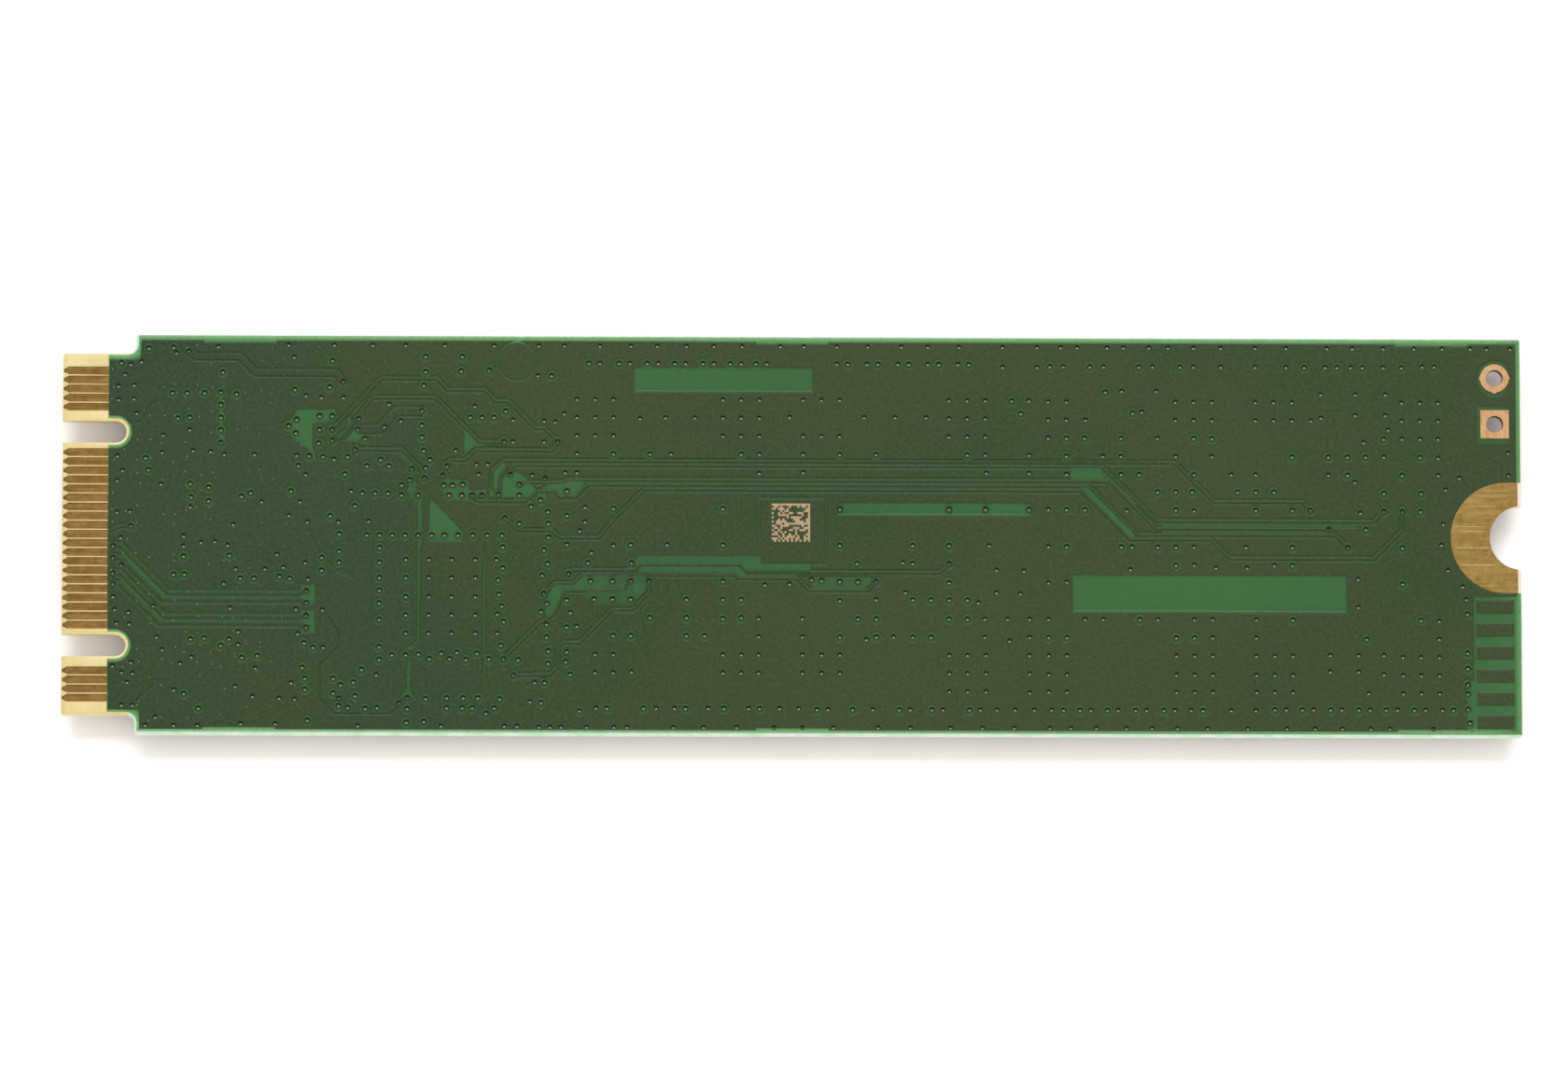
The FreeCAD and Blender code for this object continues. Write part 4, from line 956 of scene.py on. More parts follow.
def add_bare_places(plan):
    """Where the mask leaves the board bare: its rim, tongue, slots, screw pad and header lands."""
    shift = MASK_OFFSET
    plan.add("masked", [(x + shift[0], y + shift[1]) for x, y in grown(board_outline(), -EDGE_RIM)])
    plan.add("bare", bar(-OVERRUN, MASK_START, 0, 2 * HALF_WIDTH))
    for centre in KEY_SLOT_CENTRES:
        plan.add("bare", key_slot(centre, SLOT_MASK_GAP))
    plan.add("bare", screw_pad_outline())
    plan.add("bare", bar(SCREW_PAD_CENTRE, BOARD_LENGTH + OVERRUN, 0, 2 * SCREW_PAD_RADIUS))
    plan.add("bare", header_round_outline())
    plan.add("bare", header_square_outline())


def masked(cover):
    """Whether the solder mask lies on a triangle of a plan."""
    return "masked" in cover and "bare" not in cover


def add_windows(plan, pour):
    """Copper-free windows of the pour: those with few corners and no copper inside."""
    for loop in pour:
        around = any(inside(*other[0], loop) for other in pour if other is not loop)
        around = around or inside(HEADER_X, HEADER_SQUARE_Y, loop)
        if signed_area(loop) < 0 and len(loop) <= WINDOW_CORNERS and not around:
            plan.add("wide", loop)
            if signed_area(loop) / 2 < -WINDOW_AREA:
                plan.add("window", grown(loop, WINDOW_TOE))


def add_pads(plan):
    """Test pads beside the screw notch, and the contacts' tails."""
    for pad in outlines("back_test_pads", BACK_FACE):
        plan.add("track", grown(pad, COPPER_FOOT))
        plan.add("track_top", grown(pad, -PAD_SHOULDER), level=BACK_FACE - PAD_SHOULDER_DROP)
        plan.add("track_top", grown(pad, -PAD_CREST))
    for low_y, high_y in CONTACT_TAILS:
        plan.add("track", rectangle((CONTACT_TAIL_START, low_y), (CONTACT_TAIL_END, high_y)))


def add_pockets(plan):
    """Small copper-free pockets, fine channels and fine tracks."""
    for outline in POCKETS:
        pocket = anticlockwise(outline)
        for step, growth in SLOPE_STEPS:
            plan.add("recess" + step, grown(pocket, -growth))
        round_trip = sum(math.dist(a, b) for a, b in zip(pocket, pocket[1:] + pocket[:1]))
        if signed_area(pocket) / round_trip > POCKET_WIDTH:
            plan.add("wide", grown(pocket, -COPPER_FOOT))
    channels = list(FINE_CHANNELS)
    channels += [(width + 2 * EXTRA_TRACK_GAP, route) for width, route in EXTRA_TRACKS]
    for step, growth in SLOPE_STEPS:
        for width, route in channels:
            plan.add("recess" + step, strip(route, width - 2 * growth))
        for width, route in (*EXTRA_TRACKS, END_COPPER):
            plan.add("track" + step, strip(route, width + 2 * growth))


def add_back_vias(plan, pour):
    """Via dimples of chance depth, with lands and rings where they have them."""
    chance = random.Random(VIA_SEED)
    for x, y, ringed in all_vias():
        if ringed:
            plan.add("recess_top", circle(x, y, RING_RADIUS + COPPER_CREST, RING_SIDES))
            for kind in ("recess", "ring"):
                plan.add(kind, circle(x, y, RING_RADIUS - COPPER_FOOT, RING_SIDES))
        on_copper = sum(inside(x, y, loop) for loop in pour) % 2 == 1
        if ringed or not on_copper or any(inside(x, y, pocket) for pocket in POCKETS):
            plan.add("land", circle(x, y, LAND_RADIUS + COPPER_FOOT, RING_SIDES))
            plan.add("land_top", circle(x, y, LAND_RADIUS - COPPER_CREST, RING_SIDES))
        depth = chance.uniform(*VIA_DEPTHS)
        for kind, offset, radius, fall in VIA_PROFILE:
            level = BACK_FACE - fall * depth if fall else None
            # Points of the middle ring below the line carry the painted highlight
            painted_glint_line = y + VIA_PAINTED_GLINT_LINE if kind == "via_mid" else None
            plan.add(kind, circle(x, y + offset, radius, VIA_SIDES), level=level, mark_below=painted_glint_line)


def back_plan():
    """Everything that shapes the mask on the back, laid out flat."""
    plan = Plan()
    add_bare_places(plan)
    pour = outlines("back_copper_pour", BACK_FACE)
    tracks = outlines("back_tracks", BACK_FACE)
    for step, growth in SLOPE_STEPS:
        plan.add_loops("pour" + step, pour, growth)
        plan.add_loops("track" + step, tracks, growth)
    add_windows(plan, pour)
    add_pads(plan)
    add_pockets(plan)
    add_back_vias(plan, pour)
    return plan


def gap_tint_and_shade(corners):
    """Strength of the green over bare laminate: less in a narrow gap, judged by a triangle's height; the
    loss is partly painted shade of the copper beside the gap, partly the thicker mask there.
    """
    a, b, c = corners
    longest = max((a - b).length, (b - c).length, (c - a).length)
    height = abs((b - a).cross(c - a)) / longest
    share = clamped((height - NARROW_WIDTH) / (WIDE_WIDTH - NARROW_WIDTH))
    return NARROW_TINT_AND_SHADE + (1 - NARROW_TINT_AND_SHADE) * share


def closed_sheet(points, faces, levels, bottom):
    """Vertices and faces of a sheet with a relief on top, straight sides and a flat underside."""
    used = sorted({i for face in faces for i in face})
    renumber = {old: new for new, old in enumerate(used)}
    vertices = [place(*points[i], levels[i]) for i in used]
    top = [[renumber[i] for i in face] for face in faces]
    rim = dict(rim_edges(top))
    under = {}
    for a in rim:
        under[a] = len(vertices)
        vertices.append(place(*points[used[a]], bottom))
    walls = [[b, a, under[a], under[b]] for a, b in rim.items()]
    floor = Plan()
    order = []
    for loop in chains(rim):
        outline = [tuple(points[used[i]]) for i in loop]
        outside = signed_area(outline) > 0
        floor.add("sheet", outline, 1 if outside else -1)
        order += loop if outside else loop[::-1]
    _, floor_faces, covers = floor.triangles()
    base = []
    for face, cover in zip(floor_faces, covers):
        if cover["sheet"] > 0:
            base.append([under[order[i]] for i in face[::-1]])
    return vertices, top + walls + base, used


def store(obj, name, values, rest):
    """Number at each vertex for the material to read, with one value for the sides and underside."""
    layer = obj.data.attributes.new(name, "FLOAT", "POINT")
    layer.data.foreach_set("value", values + [rest] * (len(obj.data.vertices) - len(values)))


def painted_edge_light(x, y):
    """How strongly the painted glow of light through the laminate pales the mask at a place near the routed
    edges.
    """
    away = edge_distance(x, y)
    near = clamped(1 - away / PAINTED_EDGE_LIGHT_REACH)
    if BOARD_LENGTH - x < away + EDGE_TIE:
        return near * END_PAINTED_LIGHT
    if HALF_WIDTH + y < away + EDGE_TIE:
        return near * LOWER_PAINTED_LIGHT
    return near


def back_mask():
    """Solder mask on the back: high over copper, low over bare laminate, dimpled at the vias."""
    plan = back_plan()
    points, faces, covers = plan.triangles()
    levels = [BACK_FACE] * len(points)
    laminate = [0.0] * len(points)
    pit_shade = [0.0] * len(points)
    kept = []
    bowl = []
    for face, cover in zip(faces, covers):
        if not masked(cover):
            continue
        kept.append(list(face))
        bowl.append("via_rim" in cover)
        if "land" in cover:
            continue
        bared = cover.get("pour", 0) <= 0 or "recess" in cover
        if bared and cover.get("track", 0) <= 0:
            # Narrow gaps and rings get less green: partly painted shade, partly thicker mask
            tint = RING_TINT_AND_SHADE if "ring" in cover else gap_tint_and_shade([points[i] for i in face])
            if "wide" in cover or "pour" not in cover:
                tint = 1.0
            level = BACK_FACE - MASK_DROP - (WINDOW_DEPTH if "window" in cover else 0.0)
            for i in face:
                levels[i] = min(levels[i], level)
                laminate[i] = max(laminate[i], tint)
        elif cover.get("track_mid", 0) <= 0 and (
                bared or cover.get("pour_mid", 0) <= 0 or "recess_mid" in cover):
            for i in face:
                levels[i] = min(levels[i], BACK_FACE - SHOULDER_DROP)
    # The via dimples' vertices are marked for painted shade
    for kind, _, _, fall in VIA_PROFILE[1:]:
        for face, cover in zip(faces, covers):
            if kind in cover:
                for i in face:
                    levels[i] = BACK_FACE - fall
                    laminate[i] = 0.0
                    pit_shade[i] = 1.0
    for i, level in plan.fixed.items():
        levels[i] = level
    vertices, shell, used = closed_sheet(points, kept, levels, BACK_LAMINATE - MASK_BED)
    obj = new_object("back_solder_mask", vertices, shell, "solder_mask",
                     ("back_copper_pour", "back_tracks", "back_test_pads"))
    obj.data.polygons.foreach_set("use_smooth", bowl + [False] * (len(shell) - len(bowl)))
    store(obj, "laminate", [laminate[i] for i in used], 1.0)
    store(obj, "pit_shade", [pit_shade[i] for i in used], 0.0)
    # Painted glow of light through the laminate: pales the mask's edge strip, and all of its sides and
    # underside
    store(obj, "painted_glow", [laminate[i] * painted_edge_light(*points[i]) for i in used], 1.0)
    # Painted highlight on the lower side of each via dimple
    store(obj, "painted_glint", [float(i in plan.marked) for i in used], 0.0)


def front_mask():
    """Solder mask on the component side, dimpled where the vias come through."""
    plan = Plan()
    add_bare_places(plan)
    floor_level = FRONT_FACE + FRONT_VIA_DEPTH
    for x, y, _ in all_vias():
        plan.add("via_rim", circle(x, y, FRONT_VIA_RIM, FRONT_VIA_SIDES))
        plan.add("via_floor", circle(x, y, FRONT_VIA_FLOOR, FRONT_VIA_SIDES), level=floor_level)
    points, faces, covers = plan.triangles()
    kept = [list(face) for face, cover in zip(faces, covers) if masked(cover)]
    levels = [plan.fixed.get(i, FRONT_FACE) for i in range(len(points))]
    vertices, shell, used = closed_sheet(points, kept, levels, FRONT_LAMINATE)
    obj = new_object("front_solder_mask", vertices, [face[::-1] for face in shell], "solder_mask",
                     ("front_copper_pour",))
    # Painted shade on the floors of the via dimples
    store(obj, "pit_shade", [float(i in plan.fixed) for i in used], 0.0)


def bevel_fall(x):
    """How far the connector edge's bevel lies below the face."""
    return BEVEL_DEPTH * max(0.0, 1 - x / BEVEL_LENGTH)


def rim_fall(x, y):
    """How far the routed edge is rounded off below the face, where the mask has begun."""
    if x < MASK_START:
        return 0.0
    return EDGE_FALL * clamped(1 - edge_distance(x, y) / EDGE_ROUND)


def laminate_board():
    """Laminate with smooth arcs, the bevelled connector edge and the drilled header holes."""
    plan = Plan()
    plan.add("board", board_outline())
    plan.add("bevel", bar(-OVERRUN, BEVEL_LENGTH, 0, 2 * HALF_WIDTH))
    add_bare_places(plan)
    for y in (HEADER_ROUND_Y, HEADER_SQUARE_Y):
        plan.add("hole", circle(HEADER_X, y, HEADER_HOLE_RADIUS, HEADER_HOLE_SIDES))
    board = Solids()
    for under_mask, level in ((False, BACK_LAMINATE), (True, BACK_LAMINATE - MASK_BED)):
        board.plate(plan,
                    lambda c: "board" in c and "hole" not in c and masked(c) == under_mask,
                    lambda p: level - bevel_fall(p.x) - rim_fall(p.x, p.y),
                    lambda p: FRONT_LAMINATE + bevel_fall(p.x))
    board.piece("laminate_board", "board_laminate", "laminate", ("circuit_board",))


def contacts(side, foot_level, top_level):
    """Gold contacts with sloped flanks, and the cut plating leads on the bevel ahead of them."""
    fingers = Solids()
    leads = Solids()
    up = 1 if top_level > foot_level else -1
    for low, high in islands(side + "_contacts"):
        middle = (low[1] + high[1]) / 2
        foot = bar(low[0] - CONTACT_END_SLOPE, MASK_START, middle, CONTACT_FOOT)
        top = bar(low[0] + CONTACT_END_SLOPE, MASK_START, middle, CONTACT_TOP)
        sections = [(foot, foot_level), (top, top_level)]
        fingers.loft(*sections[::up])
        flat = bar(BEVEL_LENGTH, low[0] + CONTACT_END_SLOPE, middle, LEAD_ROOT)
        tip = [(LEAD_START, middle + LEAD_TIP / 2), (LEAD_START, middle - LEAD_TIP / 2)]
        for lead in (tip + [flat[0], flat[3]], flat):
            sections = [
                (lead, lambda x: foot_level - up * (bevel_fall(x) + LEAD_SUNK)),
                (lead, lambda x: foot_level - up * (bevel_fall(x) - LEAD_RISE)),
            ]
            leads.loft(*sections[::up])
    fingers.piece(side + "_fingers", "gold_contacts", "gold_plate", (side + "_contacts",))
    return leads


def screw_pad():
    """Gold pad about the notch with sloped edges, and the scratches that a screw head has left."""
    outline = screw_pad_outline()
    crest = grown(outline, -PAD_EDGE_SLOPE)
    pad = Solids()
    pad.loft((outline, BACK_LAMINATE), (outline, BACK_FACE - PAD_EDGE_DROP), (crest, BACK_FACE))
    pad.piece("screw_pad", "gold_pad", "gold_plate", ("back_screw_pad",))
    marks = Solids()
    for start, end, y, width in PAD_SCRATCHES:
        foot = bar(start, end, y, width)
        crest = bar(start + SCRATCH_TAPER, end - SCRATCH_TAPER, y, width * SCRATCH_CREST)
        marks.loft((foot, BACK_FACE - SCRATCH_RISE), (crest, BACK_FACE + SCRATCH_RISE))
    marks.piece("pad_scratches", "scratched_gold", "gold_plate")


def header_lands():
    """Plated lands on both faces of the header holes, and the barrels that join them, darkened as painted
    shade inside the holes.
    """
    barrels = Solids()
    for name, outline, y in (
        ("header_land_round", header_round_outline(), HEADER_ROUND_Y),
        ("header_land_square", header_square_outline(), HEADER_SQUARE_Y),
    ):
        wall = circle(HEADER_X, y, HEADER_HOLE_RADIUS, HEADER_HOLE_SIDES)
        bore = circle(HEADER_X, y, HEADER_HOLE_RADIUS - BARREL_WALL, HEADER_HOLE_SIDES)
        land = Solids()
        for top, bottom in ((BACK_FACE, BACK_LAMINATE), (FRONT_LAMINATE, FRONT_FACE)):
            land.drilled_plate(outline, bore, top, bottom)
        barrels.drilled_plate(wall, bore, BACK_LAMINATE, FRONT_LAMINATE)
        land.piece(name + "_plated", "header_copper", "bare_copper", (name,), PLATING_SMOOTH)
    barrels.piece("header_barrels", "painted_shade_barrel_copper", "bare_copper", smooth=PLATING_SMOOTH)


def code_field():
    """Laser-marked square field with a solid border on two sides and cells set by chance."""
    chance = random.Random(CODE_SEED)
    cells = Solids()
    last = CODE_CELLS - 1
    for row in range(CODE_CELLS):
        for column in range(CODE_CELLS):
            border = row == last or column == last
            ticks = row == 0 and column % 2 == 1 or column == 0 and row % 2 == 1
            filled = 0 < row and 0 < column and chance.random() < CODE_FILL
            if border or ticks or filled:
                low = (CODE_LOW[0] + column * CODE_CELL, CODE_LOW[1] + row * CODE_CELL)
                cell = rectangle(low, (low[0] + CODE_CELL, low[1] + CODE_CELL))
                cells.loft((cell, BACK_FACE - CODE_SUNK), (cell, BACK_FACE + CODE_RISE))
    cells.piece("code_field", "marked_copper", "bare_copper")


def moulded_package(package, number):
    """Moulded cap with broken edges and a pin-one dimple on its face, over its substrate."""
    cap_node = package + "_package" + number
    base_node = package + "_substrate" + number
    (low, high), = islands(cap_node)
    plan = Plan()
    plan.add("cap", rectangle(low[:2], high[:2]))
    inner_low = (low[0] + CAP_EDGE, low[1] + CAP_EDGE)
    plan.add("face", rectangle(inner_low, (high[0] - CAP_EDGE, high[1] - CAP_EDGE)))
    spot = (low[0] + DIMPLE_INSET, low[1] + DIMPLE_INSET)
    plan.add("rim", circle(*spot, DIMPLE_RADIUS, DIMPLE_SIDES))
    plan.add("dimple", circle(*spot, DIMPLE_RADIUS - DIMPLE_SLOPE, DIMPLE_SIDES))

    def face_level(point):
        edge = min(point.x - low[0], high[0] - point.x, point.y - low[1], high[1] - point.y)
        if edge < CAP_EDGE / 2:
            return low[2] + CAP_EDGE
        near = math.hypot(point.x - spot[0], point.y - spot[1])
        return low[2] + (DIMPLE_DEPTH if near < DIMPLE_RADIUS - DIMPLE_SLOPE / 2 else 0.0)

    cap = Solids()
    cap.plate(plan, lambda cover: True, high[2], face_level)
    cap.piece(package + number + "_cap", "mould_compound", "black_moulding", (cap_node,))
    (base_low, base_high), = islands(base_node)
    outline = chamfered(base_low[:2], base_high[:2], BASE_CORNER)
    base = Solids()
    base.loft((outline, base_low[2]), (outline, base_high[2]))
    base.piece(package + number + "_base", "package_substrate", "package_substrate", (base_node,))


def ball_field(package, number):
    """Outer ring of solder balls of a package, with the next row inside it."""
    node = package + "_balls" + number
    pitch = BALL_PITCHES[package]
    boxes = islands(node)
    low = [min(box[0][i] for box in boxes) for i in range(3)]
    high = [max(box[1][i] for box in boxes) for i in range(3)]
    radius = (boxes[0][1][0] - boxes[0][0][0]) / 2
    first = (low[0] + radius, low[1] + radius)
    columns = round((high[0] - low[0] - 2 * radius) / pitch) + 1
    rows = int((high[1] - low[1] - 2 * radius) / pitch) + 1
    row_pitch = (high[1] - low[1] - 2 * radius) / (rows - 1)
    field = Solids()
    for column in range(columns):
        for row in range(rows):
            if column in (0, 1, columns - 2, columns - 1) or row in (0, 1, rows - 2, rows - 1):
                x = first[0] + column * pitch
                field.ball(x, first[1] + row * row_pitch, low[2], high[2], radius)
    field.piece(package + "_solder" + number, "solder", "solder", (node,), BALL_SMOOTH)


def small_part(node, edge, finish, slot):
    """Solids of a CAD node with their edges broken."""
    boxes = Solids()
    for low, high in islands(node):
        boxes.rounded_box(low, high, edge)
    boxes.piece(node + "_finished", finish, slot, (node,))


def chip_fillets():
    """Solder at the end face of every terminal of the two-ended parts."""
    solder = Solids()
    for part in SOLDERED_PARTS:
        centres = [[(a + b) / 2 for a, b in zip(*box)] for box in islands(part + "_bodies")]
        for box in islands(part + "_terminals"):
            here = [(a + b) / 2 for a, b in zip(*box)]
            home = min(centres, key=lambda c: math.hypot(c[0] - here[0], c[1] - here[1]))
            away = (here[0] - home[0], here[1] - home[1])
            ahead = (round(away[0] / math.hypot(*away)), round(away[1] / math.hypot(*away)))
            solder.fillet(box, ahead, FRONT_FACE)
    solder.piece("chip_solder", "solder", "solder")


class Shader:
    """Node material about one Principled shader, with short calls for the nodes that it needs."""

    def __init__(self, name, roughness=0.5, metallic=0.0, specular=0.5):
        self.material = bpy.data.materials.new(name)
        self.material.use_nodes = True
        self.tree = self.material.node_tree
        self.base = self.tree.nodes["Principled BSDF"]
        self.surface("Roughness", roughness)
        self.surface("Metallic", metallic)
        self.surface("Specular IOR Level", specular)
        self.place = self.node("ShaderNodeTexCoord").outputs["Object"]

    def node(self, kind, inputs=None, **settings):
        """New node with its settings, and with its inputs linked or set."""
        made = self.tree.nodes.new(kind)
        for key, value in settings.items():
            setattr(made, key, value)
        for key, value in (inputs or {}).items():
            self.feed(made.inputs[key], value)
        return made

    def feed(self, socket, value):
        """Link a socket's source, or set the value that it holds."""
        if isinstance(value, bpy.types.NodeSocket):
            self.tree.links.new(value, socket)
        else:
            socket.default_value = value

    def surface(self, name, value):
        """Link or set one of the shader's own sockets."""
        self.feed(self.base.inputs[name], value)

    def stretched(self, scale):
        """Object position with its axes scaled apart."""
        return self.node("ShaderNodeMapping", {"Vector": self.place, "Scale": scale}).outputs["Vector"]

    def noise(self, scale, detail=3.0, roughness=0.55, vector=None):
        """Cloudy pattern."""
        inputs = {"Vector": vector or self.place, "Scale": scale, "Detail": detail, "Roughness": roughness}
        return self.node("ShaderNodeTexNoise", inputs).outputs["Fac"]

    def specks(self, scale, radius, share):
        """Small round spots in some of the cells of a flat random grid."""
        inputs = {"Vector": self.place, "Scale": scale}
        cells = self.node("ShaderNodeTexVoronoi", inputs, voronoi_dimensions="2D")
        spot = self.ramp(cells.outputs["Distance"], radius, radius * SPECK_CORE)
        chosen = self.node("ShaderNodeSeparateColor", {"Color": cells.outputs["Color"]})
        return self.math("MULTIPLY", spot, self.math("LESS_THAN", chosen.outputs["Red"], share))

    def ramp(self, value, low, high, to_low=0.0, to_high=1.0):
        """Smooth change from one value to another as the source goes from low to high."""
        inputs = {"Value": value, "From Min": low, "From Max": high, "To Min": to_low, "To Max": to_high}
        return self.node("ShaderNodeMapRange", inputs, interpolation_type="SMOOTHSTEP").outputs["Result"]

    def math(self, operation, a, b):
        """Two values worked into one."""
        return self.node("ShaderNodeMath", {0: a, 1: b}, operation=operation).outputs["Value"]

    def mix(self, factor, a, b):
        """Colour between two colours."""
        inputs = {"Factor": factor, "A": a, "B": b}
        return self.node("ShaderNodeMix", inputs, data_type="RGBA").outputs["Result"]

    def mottled(self, source, colors, reach=PATTERN_MIDDLE):
        """Colour that goes from dark to light with a pattern."""
        dark, light = colors
        return self.mix(self.ramp(source, *reach), srgb(*dark), srgb(*light))

    def attribute(self, name):
        """Number that the mesh holds at each vertex."""
        return self.node("ShaderNodeAttribute", attribute_name=name).outputs["Fac"]

    def axis(self, name):
        """One axis of the object position."""
        return self.node("ShaderNodeSeparateXYZ", {"Vector": self.place}).outputs[name]

    def uneven(self, roughness, source):
        """Roughness that varies about one value."""
        low, high = ROUGHNESS_SPREAD
        self.surface("Roughness", self.ramp(source, *PATTERN_MIDDLE, roughness + low, roughness + high))

    def bump(self, height, distance, strength):
        """Fine relief of the surface."""
        inputs = {"Strength": strength, "Distance": distance, "Height": height}
        self.surface("Normal", self.node("ShaderNodeBump", inputs).outputs["Normal"])


def srgb(red, green, blue):
    """Linear colour from a display colour of 0 to 255."""
    linear = []
    for value in (red, green, blue):
        share = value / 255
        linear.append(share / 12.92 if share <= 0.04045 else ((share + 0.055) / 1.055) ** 2.4)
    return (*linear, 1.0)


def plan_x(places):
    """Places along the card, in metres of the shared frame."""
    return [BOARD_LOW.x + x * MM for x in places]


def mask_material():
    """Green solder mask: dark over copper, clear green over laminate, paled at the routed edges by painted
    glow of light through the laminate, with painted shade in the via dimples and a painted highlight on
    their lower side.
    """
    look = Shader("solder_mask")
    cloud = look.noise(70.0, detail=4.0)
    grain = look.noise(5200.0, detail=2.0, roughness=0.7)
    along = look.axis("X")
    pit_shade = look.attribute("pit_shade")
    painted_glow = look.attribute("painted_glow")
    cool = look.mottled(cloud, COOL_MASK, MASK_CLOUDS)
    warm = look.mottled(cloud, WARM_MASK, MASK_CLOUDS)
    over_copper = look.mix(look.ramp(along, *plan_x(MASK_WARMS)), cool, warm)
    body = look.mix(look.attribute("laminate"), over_copper, look.mottled(cloud, CLEAR_MASK))
    # Painted glow of light through the laminate, in steps towards the routed edges
    for reach, color in PAINTED_EDGE_LIGHT_STEPS:
        body = look.mix(look.ramp(painted_glow, *reach), body, srgb(*color))
    body = look.mix(look.ramp(grain, *GRAIN_SHOWS, to_high=GRAIN_STRENGTH), body, srgb(*GRAIN_COLOR))
    dusty = look.ramp(along, *plan_x(DUST_FADES), *DUST_STRENGTHS)
    dust = look.math("MULTIPLY", look.specks(1500.0, radius=0.07, share=0.4), dusty)
    body = look.mix(dust, body, srgb(*DUST_COLOR))
    # Painted shade in the via dimples
    body = look.mix(pit_shade, body, srgb(*PIT_SHADE_COLOR))
    # Painted highlight on the lower side of each via dimple
    look.surface("Base Color", look.mix(look.attribute("painted_glint"), body, srgb(*PAINTED_GLINT_COLOR)))
    look.surface("Roughness", look.ramp(cloud, *PATTERN_MIDDLE, *MASK_ROUGHNESS))
    look.surface("Specular IOR Level", look.ramp(pit_shade, 0, 1, *MASK_SPECULAR))
    look.bump(look.math("ADD", grain, look.noise(1400.0, detail=2.0)), distance=0.000004, strength=0.35)
    return look.material


def laminate_material():
    """Glass-fibre laminate: pale yellow where bare, greenish along the routed edges and lightened there as
    painted glow of light through the laminate, with its weave.
    """
    look = Shader("board_laminate", roughness=0.5, specular=0.3)
    threads = []
    for direction in ("X", "Y"):
        inputs = {"Vector": look.place, "Scale": 900.0, "Distortion": 2.5}
        wave = look.node("ShaderNodeTexWave", inputs, wave_type="BANDS", bands_direction=direction)
        threads.append(wave.outputs["Fac"])
    weave = look.math("MULTIPLY", *threads)
    along = look.axis("X")
    across = look.axis("Y")
    bare = look.mottled(look.noise(420.0), BARE_LAMINATE)
    bare = look.mix(look.ramp(weave, *WEAVE_SHOWS, to_high=WEAVE_STRENGTH), bare, srgb(*WEAVE_COLOR))
    # Pale green of the laminate, lightened further as painted glow of light through it
    edge = look.mottled(look.noise(900.0, detail=2.0), EDGE_LAMINATE_WITH_PAINTED_GLOW)
    beside_pad = look.ramp(look.math("MULTIPLY", across, across), *PAD_STRIP_SIDES)
    beside_pad = look.math("MULTIPLY", beside_pad, look.ramp(along, *plan_x(PAD_STRIP_BEGINS)))
    edge = look.mix(beside_pad, edge, srgb(*PAD_STRIP_COLOR))
    look.surface("Base Color", look.mix(look.ramp(along, *plan_x(EDGE_BEGINS)), bare, edge))
    look.bump(weave, distance=0.000006, strength=0.4)
    return look.material


def plated_material(name, colors, roughness, stretch):
    """Plated metal with a drawn grain, tarnish and fine wear."""
    look = Shader(name, metallic=1.0)
    drawn = look.noise(6000.0, roughness=0.6, vector=look.stretched(stretch))
    cloud = look.noise(2600.0, detail=4.0, roughness=0.65)
    dark, light = colors
    tone = look.mix(look.ramp(cloud, *TARNISH_SHOWS, *TARNISH_STRENGTHS), srgb(*dark), srgb(*light))
    worn = look.ramp(drawn, *WEAR_SHOWS, to_high=WEAR_STRENGTH)
    look.surface("Base Color", look.mix(worn, tone, srgb(*light)))
    look.uneven(roughness, drawn)
    look.bump(drawn, distance=0.000003, strength=0.4)
    return look.material


def plain_material(name, colors, roughness, scale, depth, metallic):
    """Moulded, fired or cast surface: mottled colour with a fine grain."""
    look = Shader(name, roughness, metallic)
    grain = look.noise(scale, detail=4.0, roughness=0.65)
    look.surface("Base Color", look.mottled(grain, colors))
    look.uneven(roughness, look.noise(scale / WEAR_SPREAD))
    look.bump(grain, distance=depth, strength=0.5)
    return look.material


def seen_rays(tree):
    """Output that is 1 where a surface is seen: by the camera, in a reflection or through glass."""
    path = tree.nodes.new("ShaderNodeLightPath")
    seen = path.outputs["Is Camera Ray"]
    for ray in ("Is Glossy Ray", "Is Transmission Ray"):
        either = tree.nodes.new("ShaderNodeMath")
        either.operation = "MAXIMUM"
        tree.links.new(seen, either.inputs[0])
        tree.links.new(path.outputs[ray], either.inputs[1])
        seen = either.outputs["Value"]
    return seen


def stage_floor():
    """Large white table top that keeps the card's shadow."""
    bpy.ops.mesh.primitive_plane_add(size=FLOOR_SIZE)
    floor = bpy.context.object
    floor.name = "table_top"
    look = Shader("table_white", roughness=0.7, specular=0.1)
    patches = look.ramp(look.noise(40.0), *PATTERN_MIDDLE)
    look.surface("Base Color", look.mix(patches, FLOOR_DARK, FLOOR_LIGHT))
    # The table's seen glow is dimmed by occlusion near and under the card: painted shade
    shade = look.node("ShaderNodeAmbientOcclusion", {"Distance": FLOOR_SHADE_REACH})
    open_share = look.math("MULTIPLY", shade.outputs["AO"], FLOOR_GLOW)
    strength = look.math("MULTIPLY", seen_rays(look.tree), open_share)
    painted_glow = look.node("ShaderNodeEmission", {"Strength": strength})
    both = look.node("ShaderNodeAddShader", {0: look.base.outputs["BSDF"], 1: painted_glow.outputs["Emission"]})
    look.feed(look.tree.nodes["Material Output"].inputs["Surface"], both.outputs["Shader"])
    floor.data.materials.append(look.material)


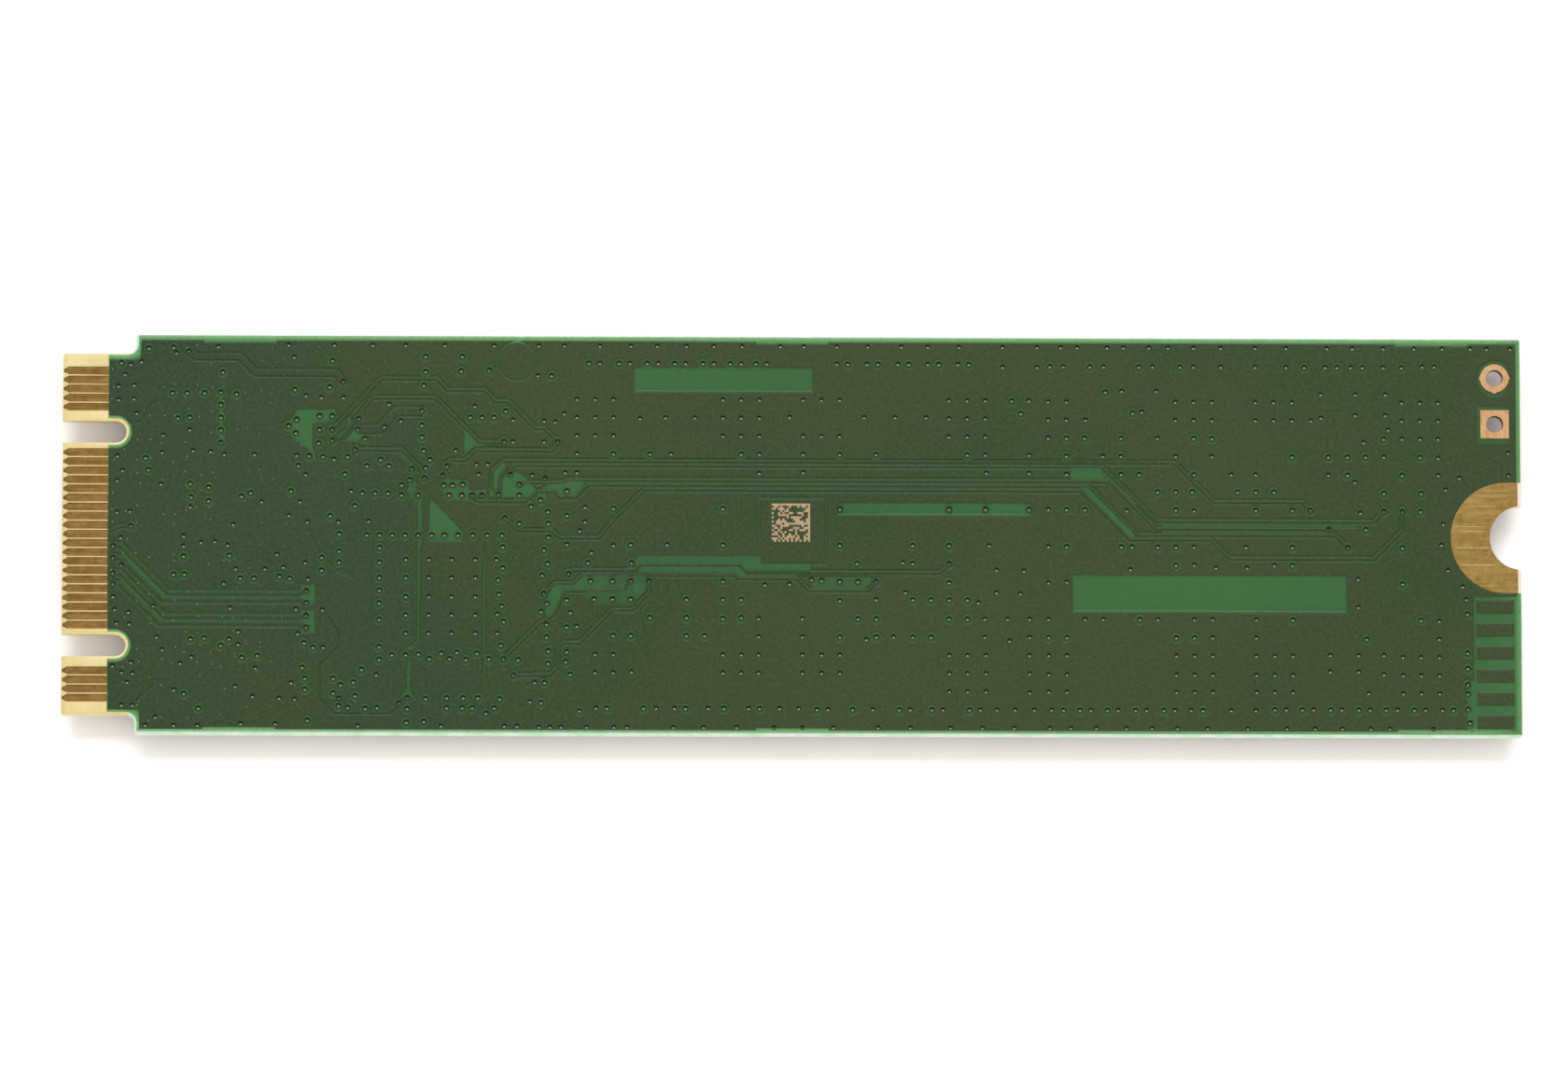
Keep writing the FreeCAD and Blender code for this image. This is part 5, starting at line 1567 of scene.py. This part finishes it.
def light_scene():
    """Soft key from beyond the card's far side and a weak fill, in an even, slightly warm surround."""
    world = bpy.data.worlds.new("studio")
    scene.world = world
    world.use_nodes = True
    tree = world.node_tree
    tint = tree.nodes.new("ShaderNodeMix")
    tint.data_type = "RGBA"
    tint.inputs["A"].default_value = AMBIENT
    tint.inputs["B"].default_value = WHITE
    tree.links.new(seen_rays(tree), tint.inputs["Factor"])
    tree.links.new(tint.outputs["Result"], tree.nodes["Background"].inputs["Color"])

    for name, (spot, size, power, color) in LAMPS.items():
        data = bpy.data.lights.new(name, "AREA")
        data.shape = "RECTANGLE"
        data.size, data.size_y = size
        data.energy = power
        data.color = color
        lamp = link(bpy.data.objects.new(name, data))
        lamp.location = spot
        lamp.rotation_euler = (-lamp.location).to_track_quat("-Z", "Y").to_euler()


def aim_camera():
    """Camera above the near side, with the photograph's slight tilt, turn and offset."""
    elevation = math.radians(90 - CAMERA_TILT)
    azimuth = math.radians(CAMERA_AZIMUTH)
    away = Vector((
        math.cos(elevation) * math.sin(azimuth),
        -math.cos(elevation) * math.cos(azimuth),
        math.sin(elevation),
    ))
    target = Vector((0, 0, BACK_FACE * MM))
    right = (-away).cross(Vector((0, 1, 0))).normalized()
    up = right.cross(-away)
    turned = Matrix((right, up, away)).transposed() @ Matrix.Rotation(math.radians(CAMERA_ROLL), 3, "Z")
    data = bpy.data.cameras.new("photo_camera")
    data.sensor_fit = "HORIZONTAL"
    data.sensor_width = CAMERA_SENSOR
    data.lens = CAMERA_LENS
    data.shift_x = CAMERA_SHIFT_PIXELS[0] / PHOTO_WIDTH
    data.shift_y = CAMERA_SHIFT_PIXELS[1] / PHOTO_WIDTH
    data.clip_start = CAMERA_CLIP
    camera = link(bpy.data.objects.new("photo_camera", data))
    camera.matrix_world = Matrix.Translation(target + away * CAMERA_DISTANCE) @ turned.to_4x4()
    scene.camera = camera


aim_camera()
light_scene()
stage_floor()
scene.view_settings.view_transform = "Standard"

finishes = {"solder_mask": mask_material(), "board_laminate": laminate_material()}
for name, values in PLATED_FINISHES.items():
    finishes[name] = plated_material(name, *values)
for name, values in PLAIN_FINISHES.items():
    finishes[name] = plain_material(name, *values)

laminate_board()
back_mask()
front_mask()
back_leads = contacts("back", BACK_LAMINATE, BACK_FACE)
front_leads = contacts("front", FRONT_LAMINATE, FRONT_FACE)
back_leads.piece("back_plating_leads", "cut_leads", "gold_plate")
front_leads.piece("front_plating_leads", "cut_leads", "gold_plate")
screw_pad()
header_lands()
code_field()
for package, numbers in PACKAGE_NUMBERS.items():
    for number in numbers:
        moulded_package(package, number)
        ball_field(package, number)
for node, edge, finish, slot in SMALL_PARTS:
    small_part(node, edge, finish, slot)
chip_fillets()

front_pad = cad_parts["front_screw_pad"].data.materials
front_pad.clear()
front_pad.append(finishes["gold_pad"])
